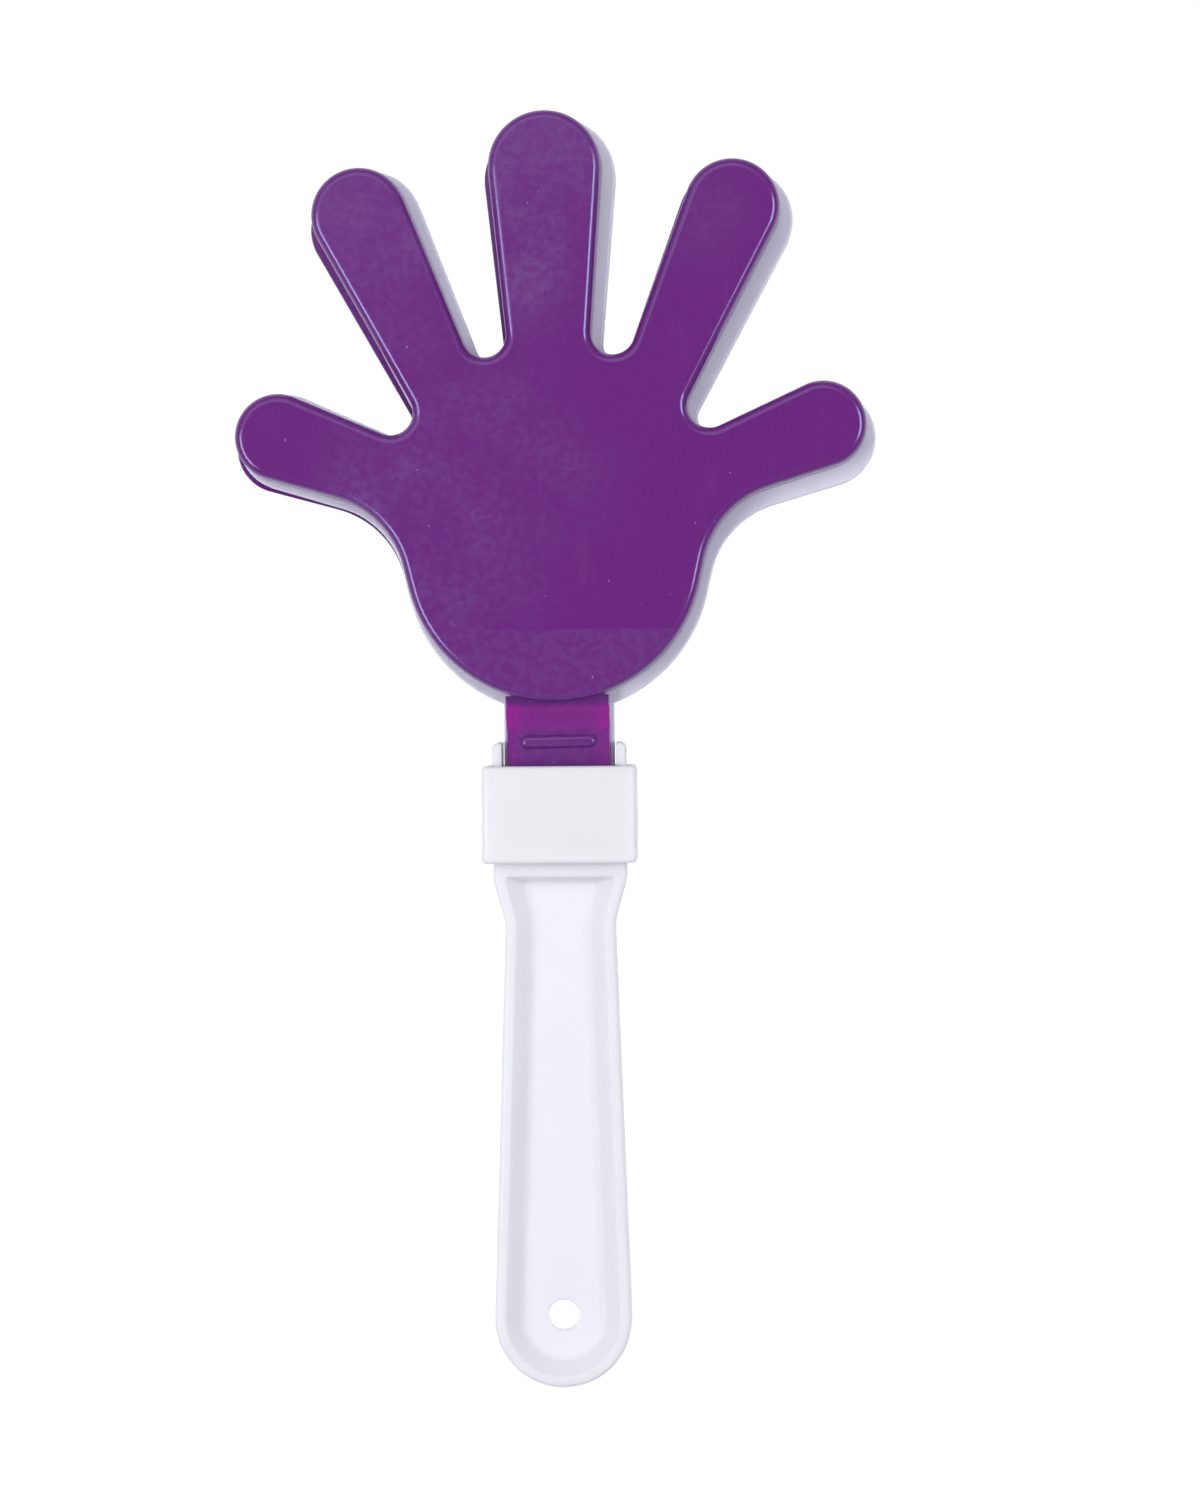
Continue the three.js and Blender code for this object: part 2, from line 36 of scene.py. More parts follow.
# Hand outline: round pegs with a tight belt round them, from the palm's centre.
PALM_RADIUS = 32.8 * MM
MIDDLE_TIP_RADIUS = 12.5 * MM
MIDDLE_REACH = 83.9 * MM
POINTER_TIP_RADIUS = 10.6 * MM
POINTER_REACH = 84.7 * MM
POINTER_TURN = 28.7
THUMB_TIP_RADIUS = 9.65 * MM
THUMB_REACH = 65.1 * MM
THUMB_TURN = 66
INNER_WEB_RADIUS = 4.6 * MM
INNER_WEB_REACH = 49.6 * MM
INNER_WEB_SKEW = 2.1
OUTER_WEB_RADIUS = 4.7 * MM
OUTER_WEB_REACH = 46.8 * MM
OUTER_WEB_SKEW = 0.8
THUMB_CURVE_RADIUS = 20.6 * MM
THUMB_UNDERSIDE = 15.6 * MM
WRIST_STRAIGHT = 5.1 * MM

# Hand shells.
SHELL_DEPTH = 8.5 * MM
SHELL_WALL = 1.6 * MM
SHELL_DRAFT = 0.3 * MM
FACE_ROUND = 1.9 * MM
RIM_ROUND = 0.2 * MM
RIB_THICK = 1.2 * MM
RIB_HEIGHT = 3.2 * MM
RIB_ROUND = 0.25 * MM
HUB_RADIUS = 9 * MM

# Middle hand.
PLATE_THICK = 7.6 * MM
PLATE_WEB = 1.6 * MM
PLATE_RIM = 4.8 * MM
PLATE_PROUD = 0.8 * MM
PLATE_EDGE = 0.5 * MM
PLATE_RIB_HEIGHT = 1.6 * MM
HAND_GAP = 0.35 * MM
NECK_WIDTH = 24.3 * MM
NECK_THICK = 3.6 * MM
NECK_EDGE = 0.3 * MM
SNAP_RADIUS = 0.8 * MM
SNAP_UP = 5.5 * MM

# Hinge tabs.
TAB_REACH = 17.45 * MM
TAB_THICK = 2.0 * MM
TAB_OUTER_FACE = 0.6 * MM
TAB_SIDE_PLAY = 1.2 * MM
TAB_NECK_GAP = 0.7 * MM
TAB_ABOVE_RIM = 0.95 * MM
TAB_EDGE = 0.3 * MM
TAB_BEND = 0.9 * MM
TRUNNION_RADIUS = 1.5 * MM
TRUNNION_END_GAP = 0.75 * MM
TRUNNION_EDGE = 0.25 * MM
STEP_BELOW_PALM = 1.45 * MM
STEP_LENGTH = 4.0 * MM
BAR_LENGTH = 16.5 * MM
BAR_WIDTH = 2.9 * MM
BAR_HEIGHT = 1.1 * MM
BAR_FLAT = 0.7 * MM
BAR_BELOW_STEP = 3.15 * MM

# Where each hand sits.
FRONT_TRUNNION_Y = -3.5 * MM
BACK_SLIP = 1.4 * MM
MIDDLE_DROP = 1.75 * MM
FRONT_LEAN = 0.9
BACK_LEAN = 1.4

# Collar.
COLLAR_LENGTH = 21.3 * MM
COLLAR_SIDE_WALL = 1.7 * MM
COLLAR_FACE_WALL = 2.2 * MM
COLLAR_PASS = 0.25 * MM
COLLAR_CORNER = 1.4 * MM
COLLAR_EDGE = 0.9 * MM
BORE_CORNER = 0.5 * MM
MOUTH_FLARE = 0.6 * MM
MOUTH_DEPTH = 1.6 * MM
MOUTH_EDGE = 0.12 * MM
RIDGE_WIDTH = 14 * MM
RIDGE_LENGTH = 2.0 * MM
RIDGE_HEIGHT = 0.6 * MM
RIDGE_UP = 4.3 * MM

# Handle head.
PRONG_ABOVE_COLLAR = 5.2 * MM
PRONG_THICK = 2.05 * MM
PRONG_ROUND = 1.5 * MM
HEAD_FACE_COVER = 1.3 * MM
HEAD_EDGE = 0.6 * MM
FORK_EDGE = 0.3 * MM
POCKET_STEP = 0.05 * MM
HEAD_INSIDE_COLLAR = 1.1 * MM
BLOCK_BELOW_SLOT = 1.05 * MM
TONGUE_INSIDE_COLLAR = 0.8 * MM
SIDE_CLEARANCE = 0.45 * MM
FACE_CLEARANCE = 0.3 * MM
SLOT_CLEARANCE = 0.35 * MM
SLOT_SPARE = 0.3 * MM

# Grip.
GRIP_LENGTH = 115.4 * MM
GRIP_HALF_THICK = 5.8 * MM
GRIP_EDGE = 1.0 * MM
CORNER_SPARE = 0.2 * MM
ROOT_TAPER = 0.3 * MM
SHOULDER_BELOW_COLLAR = 2.4 * MM
SHOULDER_RADIUS = 10 * MM
WAIST_BELOW_SHOULDER = 12.3 * MM
WAIST_HALF = 12.05 * MM
WAIST_RADIUS = 12 * MM
END_RADIUS = 15.0 * MM
RECESS_BELOW_COLLAR = 3.0 * MM
RECESS_RIM = 2.3 * MM
RECESS_SLOPE = 3.4 * MM
RECESS_TOP_SLOPE = 1.2 * MM
RECESS_DEPTH = 4.3 * MM
RECESS_CORNER = 0.8 * MM
RECESS_FOOT = 0.8 * MM
RECESS_BROW = 0.25 * MM
HOLE_RADIUS = 3.4 * MM
HOLE_UP = 0.4 * MM
HOLE_EDGE = 0.3 * MM

# Places that follow from the sizes above.
PRONG_INNER = NECK_WIDTH / 2 + SIDE_CLEARANCE
HEAD_HALF = PRONG_INNER + PRONG_THICK
TRUNNION_DEPTH = NECK_THICK / 2 + TAB_NECK_GAP + TAB_THICK - TAB_OUTER_FACE
HEAD_HALF_THICK = TRUNNION_DEPTH + TRUNNION_RADIUS + HEAD_FACE_COVER
SLOT_ROOM = TRUNNION_RADIUS + SLOT_CLEARANCE
SLOT_TOP = FRONT_TRUNNION_Y + SLOT_ROOM + SLOT_SPARE
SLOT_BOTTOM = FRONT_TRUNNION_Y - BACK_SLIP - SLOT_ROOM - SLOT_SPARE
BLOCK_TOP = SLOT_BOTTOM - BLOCK_BELOW_SLOT
TONGUE_BOTTOM = TONGUE_INSIDE_COLLAR - COLLAR_LENGTH
HEAD_BOTTOM = HEAD_INSIDE_COLLAR - COLLAR_LENGTH
SHOULDER_Y = -COLLAR_LENGTH - SHOULDER_BELOW_COLLAR
WAIST_Y = SHOULDER_Y - WAIST_BELOW_SHOULDER
RECESS_TOP = -COLLAR_LENGTH - RECESS_BELOW_COLLAR
END_Y = END_RADIUS - COLLAR_LENGTH - GRIP_LENGTH
TRUNNION_TO_PALM = TAB_REACH + PALM_RADIUS
MIDDLE_PALM_Y = FRONT_TRUNNION_Y + TRUNNION_TO_PALM - MIDDLE_DROP
SHELL_RIM = PLATE_THICK / 2 + HAND_GAP - TRUNNION_DEPTH
SHELL_FACE = SHELL_RIM + SHELL_DEPTH

# Fineness of the curves.
ARC_STEP = 4
ROUND_SEGMENTS = 8
BAR_SEGMENTS = 6
GRIP_SEGMENTS = 5
BEND_SEGMENTS = 4
EDGE_SEGMENTS = 3
ROD_SIDES = 48
SMOOTH_ANGLE = 32
MERGE = 0.001 * MM
TRUE_CORNER = 0.1 * MERGE
PAST = 2 * MM

# What is picked in edit mode: the crease that an edge has at least, in degrees, and the share of a
# direction that lies along an axis or across it.
SHARP = 60
MOUTH_CREASE = 50
CORNER_CREASE = 30
BROW_CREASE = 20
FOOT_CREASE = 15
FLAT = 0.999
ALONG = 0.9
SLANTED = 0.3
ACROSS = 0.1

# The camera looks straight down, a little from the right, and is rolled a touch.
CAMERA_PLACE = (29.5 * MM, 15.4 * MM, 1000 * MM)
CAMERA_PITCH = -0.8871
CAMERA_YAW = 1.1660
CAMERA_ROLL = -0.425
CAMERA_LENS = 107.50
CAMERA_SENSOR = 36
CAMERA_SEES = 100

# The backdrop lies low enough for the back hand to swing clear of it.
FLOOR_DEPTH = 80 * MM
FLOOR_SIZE = 8
FLOOR_COLOUR = (0.85, 0.85, 0.86)
FLOOR_GLOW = 1.05
BACKDROP_LIFT = 0.92

# Where the Mix node keeps its colour sockets, whose names its other kinds share.
COLOUR_A = 6
COLOUR_B = 7
COLOUR_RESULT = 2

# Patterns of noise: scale, detail, and the two marks between which each one rises.
HAZE_CLOUD = (70, 5, 0.35, 0.65)
HAZE_MOTTLE = (620, 5, 0.36, 0.64)
FINE_GRAIN = (1500, 2, 0.35, 0.7)
SCUFFS = (260, 3, 0.62, 0.8)
SPECKS = (900, 1, 0.8, 0.83)
WHITE_CLOUD = (26, 3, 0.35, 0.7)
WHITE_GRAIN = (500, 2, 0.4, 0.75)
WHITE_SKIN = (70, 4, 0.3, 0.7)

# Relief: scale, detail and depth of a slow wave and of a fine tooth.
PURPLE_RELIEF = [(30, 1, 0.10 * MM), (1400, 2, 0.0015 * MM)]
WHITE_RELIEF = [(40, 1, 0.08 * MM), (1100, 2, 0.003 * MM)]

# Purple plastic.
PURPLE = (0.149, 0.0108, 0.200)
PURPLE_GRAIN = (0.158, 0.0147, 0.208)
PURPLE_SCUFF = (0.175, 0.0275, 0.221)
# Painted sheen: the lighter, bluer purple laid where the gloss is dulled.
PURPLE_HAZE_SHEEN = (0.168, 0.042, 0.238)
PURPLE_SPECK = (0.42, 0.26, 0.50)
# Painted glow: the hinge tab's colour where light through the thin plastic is painted in.
PAINTED_TAB_GLOW = (0.33, 0.010, 0.300)
PURPLE_IOR = 1.59
SHINE = 0.78
SHINE_COLOUR = (0.55, 0.66, 1.0)
CLEAN_ROUGHNESS = 0.17
HAZED_ROUGHNESS = 0.3
SCUFF_STRETCH = (1.0, 0.16, 1)
SCUFF_AMOUNT = 0.55
SPECK_AMOUNT = 0.7

# Where handling has dulled it, and where a painted sheen lightens the purple in place of light
# scattered off the dull patches: each spot's place and reach in millimetres, and its amount.
HAZE_AND_SHEEN_SPOTS = [
    ((-24, 38), 32, 0.85),
    ((-38, 61), 20, 1.0),
    ((-4, 124), 36, 0.75),
    ((-3, 98), 16, 0.6),
    ((-42, 113), 30, 0.7),
    ((-31, 91), 15, 0.5),
    ((-14, 72), 26, 0.6),
    ((32, 116), 18, 0.4),
    ((4, 58), 20, 0.35),
    # Painted sheen on the hinge tab's flat, with some roughness.
    ((0.5, -2), 8, 1.0),
]
SPOT_CORE = 0.15
HAZE_EVERYWHERE = 0.06
HAZE_LEAST_CLOUD = 0.45
HAZE_LEAST_MOTTLE = 0.4
# Painted reflection: the palm below this height is lighter, and rougher as well, with a soft edge.
LOW_REFLECTION_BELOW = 26.7 * MM
LOW_REFLECTION_EDGE = 0.3 * MM
LOW_REFLECTION_AMOUNT = 0.6

# The hinge tab's painted glow, which stands in for light coming through the thin plastic: the heights
# between which it comes and goes, and the same for its edges.
HINGE_X = 0.54 * MM
GLOW_COMES = (3.9 * MM, 5.9 * MM)
GLOW_GOES = (9.3 * MM, 11.0 * MM)
EDGE_GLOW_COMES = (6.5 * MM, 11.4 * MM)
EDGE_GLOW_GOES = (7.0 * MM, 9.5 * MM)
LOW_EDGE_GLOW = 0.62
MIDDLE_GLOW = 0.6
EDGE_GLOW = 0.6

# White plastics: colour, shade, roughness, and how deep light sinks in.
# The middle hand's lavender and blue tint is painted bounce light from the purple hands and painted
# blue shade.
PLATE_WHITE_PAINTED_BOUNCE = ((0.84, 0.835, 0.945), (0.81, 0.805, 0.925), 0.34, 0.3 * MM)
HANDLE_WHITE = ((0.88, 0.875, 0.905), (0.86, 0.855, 0.887), 0.42, 3 * MM)
COLLAR_WHITE = ((0.92, 0.915, 0.965), (0.90, 0.895, 0.947), 0.36, 2.5 * MM)
WHITE_IOR = 1.49
WHITE_GRAIN_AMOUNT = 0.35
SMOOTHER = 0.05
ROUGHER = 0.06
LIGHT_INSIDE = 0.8
LIGHT_INSIDE_COLOUR = (1, 0.95, 1)

# Light. Each soft box has its place, width, height, watts and colour.
SOFT_BOXES = {
    "key": ((-0.3, 0.68, 1.1), 1.3, 1.0, 3.4, (1.0, 0.95, 0.86)),
    "left": ((-0.86, -0.16, 1.0), 0.8, 0.44, 7.8, (0.97, 0.97, 1.0)),
    "right": ((0.86, 0.12, 1.0), 0.6, 0.44, 6.3, (0.97, 0.97, 1.0)),
}
LAMP_AIM = (0, 0.02, 0)

# The room's brightness by height, from level to straight up, where the hands' faces mirror it.
SKY_STRENGTH = 1.05
SKY_TONES = [(0.0, 0.26), (0.7, 0.345), (0.88, 0.33), (1.0, 0.185)]
SKY_COLOUR = (0.86, 0.88, 1.0)

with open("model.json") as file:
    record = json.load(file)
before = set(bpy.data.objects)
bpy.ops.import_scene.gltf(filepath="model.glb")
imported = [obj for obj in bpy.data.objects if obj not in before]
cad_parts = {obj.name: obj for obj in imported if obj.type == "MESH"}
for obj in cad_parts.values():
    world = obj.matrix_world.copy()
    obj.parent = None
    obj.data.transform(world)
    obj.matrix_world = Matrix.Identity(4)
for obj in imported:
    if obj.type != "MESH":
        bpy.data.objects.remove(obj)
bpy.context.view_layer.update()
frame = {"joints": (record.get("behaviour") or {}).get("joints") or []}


# Helpers for modelling.

def only(piece):
    bpy.ops.object.select_all(action="DESELECT")
    piece.select_set(True)
    bpy.context.view_layer.objects.active = piece


def edit(piece):
    only(piece)
    bpy.ops.object.mode_set(mode="EDIT")
    bpy.ops.mesh.select_all(action="DESELECT")


def leave():
    bpy.ops.object.mode_set(mode="OBJECT")


def pick_faces(piece, test):
    """In edit mode, selects the faces whose middle and normal pass the test."""
    bpy.ops.mesh.select_mode(type="FACE")
    bpy.ops.mesh.select_all(action="DESELECT")
    mesh = bmesh.from_edit_mesh(piece.data)
    for face in mesh.faces:
        if test(face.calc_center_median(), face.normal):
            face.select_set(True)
    mesh.select_flush_mode()
    bmesh.update_edit_mesh(piece.data)


def pick_edges(piece, test):
    """In edit mode, selects the edges whose middle, direction and crease angle pass the test."""
    bpy.ops.mesh.select_mode(type="EDGE")
    bpy.ops.mesh.select_all(action="DESELECT")
    mesh = bmesh.from_edit_mesh(piece.data)
    for edge in mesh.edges:
        a, b = edge.verts[0].co, edge.verts[1].co
        crease = math.degrees(edge.calc_face_angle(0))
        if test((a + b) / 2, (b - a).normalized(), crease):
            edge.select_set(True)
    mesh.select_flush_mode()
    bmesh.update_edit_mesh(piece.data)


def push(x=0.0, y=0.0, z=0.0):
    bpy.ops.mesh.extrude_region_move(TRANSFORM_OT_translate={"value": (x, y, z)})


def inset(thickness, depth=0.0):
    bpy.ops.mesh.inset(thickness=thickness, depth=depth, use_even_offset=True, use_boundary=True)


def bevel(width, segments):
    bpy.ops.mesh.bevel(
        offset=width, segments=segments, profile=0.5, affect="EDGES", clamp_overlap=False
    )


def close_to(a, b, slack=0.01 * MM):
    return abs(a - b) < slack


def combine(piece, tool, operation):
    """Joins or cuts with a Boolean modifier, then removes the tool."""
    only(piece)
    boolean = piece.modifiers.new(operation.title(), "BOOLEAN")
    boolean.operation = operation
    boolean.solver = "EXACT"
    boolean.object = tool
    bpy.ops.object.modifier_apply(modifier=boolean.name)
    only(tool)
    bpy.ops.object.delete()
    only(piece)


def block(name, low, high):
    """A plain box between two corners, as a start for a cut or a rib."""
    low, high = Vector(low), Vector(high)
    bpy.ops.object.select_all(action="DESELECT")
    bpy.ops.mesh.primitive_cube_add(size=1, location=(low + high) / 2)
    piece = bpy.context.object
    piece.name = name
    piece.scale = high - low
    bpy.ops.object.transform_apply()
    return piece


def rod(name, radius, length, place, rotation=(0, 0, 0), edge=0.0):
    bpy.ops.object.select_all(action="DESELECT")
    bpy.ops.mesh.primitive_cylinder_add(
        vertices=ROD_SIDES, radius=radius, depth=length, location=place, rotation=rotation
    )
    piece = bpy.context.object
    piece.name = name
    bpy.ops.object.transform_apply()
    if edge:
        edit(piece)
        pick_edges(piece, lambda middle, way, crease: crease > SHARP)
        bevel(edge, EDGE_SEGMENTS)
        leave()
    return piece


def settle(piece, place=(0, 0, 0), turn=Matrix.Identity(4)):
    """Turns a piece about its own centre, moves it and applies both to its mesh."""
    only(piece)
    piece.matrix_world = Matrix.Translation(place) @ turn
    bpy.ops.object.transform_apply()


def finish_mesh(piece):
    """Outward normals, smooth curves with crisp edges, and flats that stay flat."""
    edit(piece)
    bpy.ops.mesh.select_all(action="SELECT")
    bpy.ops.mesh.remove_doubles(threshold=MERGE)
    bpy.ops.mesh.dissolve_degenerate(threshold=MERGE)
    bpy.ops.mesh.normals_make_consistent(inside=False)
    leave()
    bpy.ops.object.shade_smooth_by_angle(angle=math.radians(SMOOTH_ANGLE))
    weighted = piece.modifiers.new("Flat faces", "WEIGHTED_NORMAL")
    weighted.keep_sharp = True
    bpy.ops.object.modifier_apply(modifier=weighted.name)


# The belt round the pegs. A peg is (x, y, radius, side), and its side is 1 where the belt wraps it
# and -1 where the peg pushes the belt in from outside.

def fanned(reach, turn, radius, side):
    angle = math.radians(turn)
    return (reach * math.sin(angle), reach * math.cos(angle), radius, side)


def mirrored(pegs):
    left = [(-x, y, radius, side) for x, y, radius, side in pegs if x > 0]
    return pegs + left[::-1]


def grown(pegs, by):
    """The same belt, moved outwards all round."""
    return [(x, y, radius + side * by, side) for x, y, radius, side in pegs]


def wraps(pegs):
    """For each peg: its centre, signed radius, the heading that the belt arrives on and its sweep."""
    headings = []
    for i, (x, y, radius, side) in enumerate(pegs):
        next_x, next_y, next_radius, next_side = pegs[(i + 1) % len(pegs)]
        across, up = next_x - x, next_y - y
        widening = (next_side * next_radius - side * radius) / math.hypot(across, up)
        headings.append(math.atan2(up, across) - math.asin(widening))
    found = []
    for i, (x, y, radius, side) in enumerate(pegs):
        sweep = math.remainder(headings[i] - headings[i - 1], 2 * math.pi)
        if side * sweep < 0:
            sweep += side * 2 * math.pi
        found.append((x, y, side * radius, headings[i - 1], sweep))
    return found


def trace(name, pegs, height):
    """A flat face edged by the belt: a point is spun about each peg and pulled on to the next."""
    arcs = wraps(pegs)
    touches = []
    for x, y, bend, arriving, _ in arcs:
        touches.append(Vector((x + bend * math.sin(arriving), y - bend * math.cos(arriving), height)))
    bpy.ops.object.select_all(action="DESELECT")
    bpy.ops.mesh.primitive_plane_add(size=MM, location=touches[0])
    piece = bpy.context.object
    piece.name = name
    bpy.ops.object.transform_apply()
    edit(piece)
    bpy.ops.mesh.select_mode(type="VERT")
    bpy.ops.mesh.select_all(action="SELECT")
    bpy.ops.mesh.merge(type="CENTER")
    for i, (x, y, bend, arriving, sweep) in enumerate(arcs):
        steps = max(2, math.ceil(abs(math.degrees(sweep)) / ARC_STEP))
        bpy.ops.mesh.spin(steps=steps, angle=sweep, center=(x, y, height), axis=(0, 0, -1))
        leaving = arriving + sweep
        end = Vector((x + bend * math.sin(leaving), y - bend * math.cos(leaving), height))
        push(*(touches[(i + 1) % len(arcs)] - end))
    bpy.ops.mesh.select_all(action="SELECT")
    bpy.ops.mesh.remove_doubles(threshold=MERGE)
    bpy.ops.mesh.edge_face_add()
    leave()
    if piece.data.polygons[0].normal.z < 0:
        edit(piece)
        bpy.ops.mesh.select_all(action="SELECT")
        bpy.ops.mesh.flip_normals()
        leave()
    return piece


def slab(name, pegs, low, high):
    """A plate with the belt's outline between two heights."""
    piece = trace(name, pegs, low)
    edit(piece)
    bpy.ops.mesh.select_all(action="SELECT")
    push(z=high - low)
    bpy.ops.mesh.select_all(action="SELECT")
    bpy.ops.mesh.normals_make_consistent(inside=False)
    leave()
    return piece


def hand_pegs():
    out = math.hypot(PALM_RADIUS + THUMB_CURVE_RADIUS, WRIST_STRAIGHT)
    across = math.hypot(THUMB_TIP_RADIUS + THUMB_CURVE_RADIUS, THUMB_UNDERSIDE)
    past_cosine = (THUMB_REACH ** 2 + out ** 2 - across ** 2) / (2 * THUMB_REACH * out)
    past = math.degrees(math.acos(past_cosine))
    outer_web_turn = (POINTER_TURN + THUMB_TURN) / 2 + OUTER_WEB_SKEW
    inner_web_turn = POINTER_TURN / 2 + INNER_WEB_SKEW
    return mirrored([
        (0, 0, PALM_RADIUS, 1),
        fanned(out, THUMB_TURN + past, THUMB_CURVE_RADIUS, -1),
        fanned(THUMB_REACH, THUMB_TURN, THUMB_TIP_RADIUS, 1),
        fanned(OUTER_WEB_REACH, outer_web_turn, OUTER_WEB_RADIUS, -1),
        fanned(POINTER_REACH, POINTER_TURN, POINTER_TIP_RADIUS, 1),
        fanned(INNER_WEB_REACH, inner_web_turn, INNER_WEB_RADIUS, -1),
        (0, MIDDLE_REACH, MIDDLE_TIP_RADIUS, 1),
    ])


# The hands.

def finger_ribs(low, high):
    """A stiffening rib up each finger from a ring in the palm, joined into one."""
    centre = (0, 0, (low + high) / 2)
    ribs = rod("finger_ribs", HUB_RADIUS + RIB_THICK / 2, high - low, centre)
    bore = rod("hub_bore", HUB_RADIUS - RIB_THICK / 2, high - low + PAST, centre)
    combine(ribs, bore, "DIFFERENCE")
    fingers = [
        (MIDDLE_REACH, 0),
        (POINTER_REACH, POINTER_TURN),
        (POINTER_REACH, -POINTER_TURN),
        (THUMB_REACH, THUMB_TURN),
        (THUMB_REACH, -THUMB_TURN),
    ]
    for reach, turn in fingers:
        rib = block("rib", (-RIB_THICK / 2, HUB_RADIUS, low), (RIB_THICK / 2, reach, high))
        edit(rib)
        pick_edges(rib, lambda middle, way, crease: abs(way.y) > ALONG)
        bevel(RIB_ROUND, EDGE_SEGMENTS)
        leave()
        settle(rib, turn=Matrix.Rotation(-math.radians(turn), 4, "Z"))
        combine(ribs, rib, "UNION")
    return ribs


def hinge_tab():
    """The bent strip from the trunnion up to the palm's wall, with its trunnion and thumb bar."""
    inner = TAB_OUTER_FACE - TAB_THICK
    rise = SHELL_RIM + TAB_ABOVE_RIM - inner
    step_end = TAB_REACH - STEP_BELOW_PALM
    step_start = step_end - STEP_LENGTH
    half = PRONG_INNER - TAB_SIDE_PLAY
    tab = block("hinge_tab", (-half, 0, inner), (half, step_start, TAB_OUTER_FACE))
    edit(tab)
    pick_faces(tab, lambda middle, normal: normal.y > ALONG)
    push(y=STEP_LENGTH, z=rise)
    push(y=STEP_BELOW_PALM + SHELL_WALL)
    pick_edges(tab, lambda middle, way, crease: abs(way.x) > ALONG and (
        close_to(middle.y, step_start) or close_to(middle.y, step_end)))
    bevel(TAB_BEND, BEND_SEGMENTS)
    pick_edges(tab, lambda middle, way, crease: (
        crease > SHARP and abs(way.x) < ACROSS < abs(way.y)
        and 0 < middle.y < TAB_REACH + SHELL_WALL / 2))
    bevel(TAB_EDGE, EDGE_SEGMENTS)
    leave()
    trunnion = rod(
        "trunnion", TRUNNION_RADIUS, 2 * (HEAD_HALF - TRUNNION_END_GAP), (0, 0, 0),
        rotation=(0, math.pi / 2, 0), edge=TRUNNION_EDGE,
    )
    combine(tab, trunnion, "UNION")
    bar_end = (BAR_LENGTH - BAR_WIDTH) / 2
    bar_y = step_start - BAR_BELOW_STEP
    bar = slab(
        "thumb_bar", [(bar_end, bar_y, BAR_WIDTH / 2, 1), (-bar_end, bar_y, BAR_WIDTH / 2, 1)],
        TAB_OUTER_FACE - TAB_THICK / 2, TAB_OUTER_FACE + BAR_HEIGHT,
    )
    edit(bar)
    pick_edges(bar, lambda middle, way, crease: crease > SHARP and middle.z > TAB_OUTER_FACE)
    bevel((BAR_WIDTH - BAR_FLAT) / 2, BAR_SEGMENTS)
    leave()
    combine(tab, bar, "UNION")
    return tab


def hand_shell(name):
    """An open tray with its face up and its trunnion's centre at the origin."""
    shell = trace(name, hand_pegs(), SHELL_RIM)
    edit(shell)
    bpy.ops.mesh.select_mode(type="FACE")
    bpy.ops.mesh.select_all(action="SELECT")
    inset(SHELL_DRAFT, SHELL_DEPTH)
    bpy.ops.mesh.region_to_loop()
    bevel(FACE_ROUND, ROUND_SEGMENTS)
    leave()
    wall = shell.modifiers.new("Wall", "SOLIDIFY")
    wall.thickness = SHELL_WALL
    wall.offset = -1
    wall.use_even_offset = True
    bpy.ops.object.modifier_apply(modifier=wall.name)
    edit(shell)
    pick_edges(shell, lambda middle, way, crease: crease > SHARP and close_to(middle.z, SHELL_RIM))
    bevel(RIM_ROUND, EDGE_SEGMENTS)
    leave()
    inside = SHELL_FACE - SHELL_WALL
    combine(shell, finger_ribs(inside - RIB_HEIGHT, inside + SHELL_WALL / 2), "UNION")
    settle(shell, place=(0, TRUNNION_TO_PALM, 0))
    combine(shell, hinge_tab(), "UNION")
    finish_mesh(shell)
    return shell


def middle_plate():
    """The white hand: a thin web with a rim on both faces, and a neck and tongue below."""
    half = PLATE_THICK / 2
    web = PLATE_WEB / 2
    plate = slab("hand_plate_middle", grown(hand_pegs(), PLATE_PROUD), -half, half)
    edit(plate)
    pick_edges(plate, lambda middle, way, crease: crease > SHARP and abs(way.z) < ACROSS)
    bevel(PLATE_EDGE, EDGE_SEGMENTS)
    pick_faces(plate, lambda middle, normal: abs(normal.z) > FLAT)
    inset(PLATE_RIM - PLATE_EDGE)
    inset(SHELL_DRAFT, web - half)
    leave()
    combine(plate, finger_ribs(-web - PLATE_RIB_HEIGHT, web + PLATE_RIB_HEIGHT), "UNION")
    settle(plate, place=(0, MIDDLE_PALM_Y, 0))
    neck_top = MIDDLE_PALM_Y + PLATE_RIM - PALM_RADIUS
    neck = block(
        "neck", (-NECK_WIDTH / 2, TONGUE_BOTTOM, -NECK_THICK / 2),
        (NECK_WIDTH / 2, neck_top, NECK_THICK / 2),
    )
    edit(neck)
    pick_edges(neck, lambda middle, way, crease: middle.y < neck_top - MM)
    bevel(NECK_EDGE, EDGE_SEGMENTS)
    leave()
    combine(plate, neck, "UNION")
    for side in (-1, 1):
        notch = rod(
            "notch", SNAP_RADIUS + SLOT_CLEARANCE, NECK_THICK + PAST,
            (side * PRONG_INNER, TONGUE_BOTTOM + SNAP_UP, 0),
        )
        combine(plate, notch, "DIFFERENCE")
    finish_mesh(plate)
    return plate


# The handle.

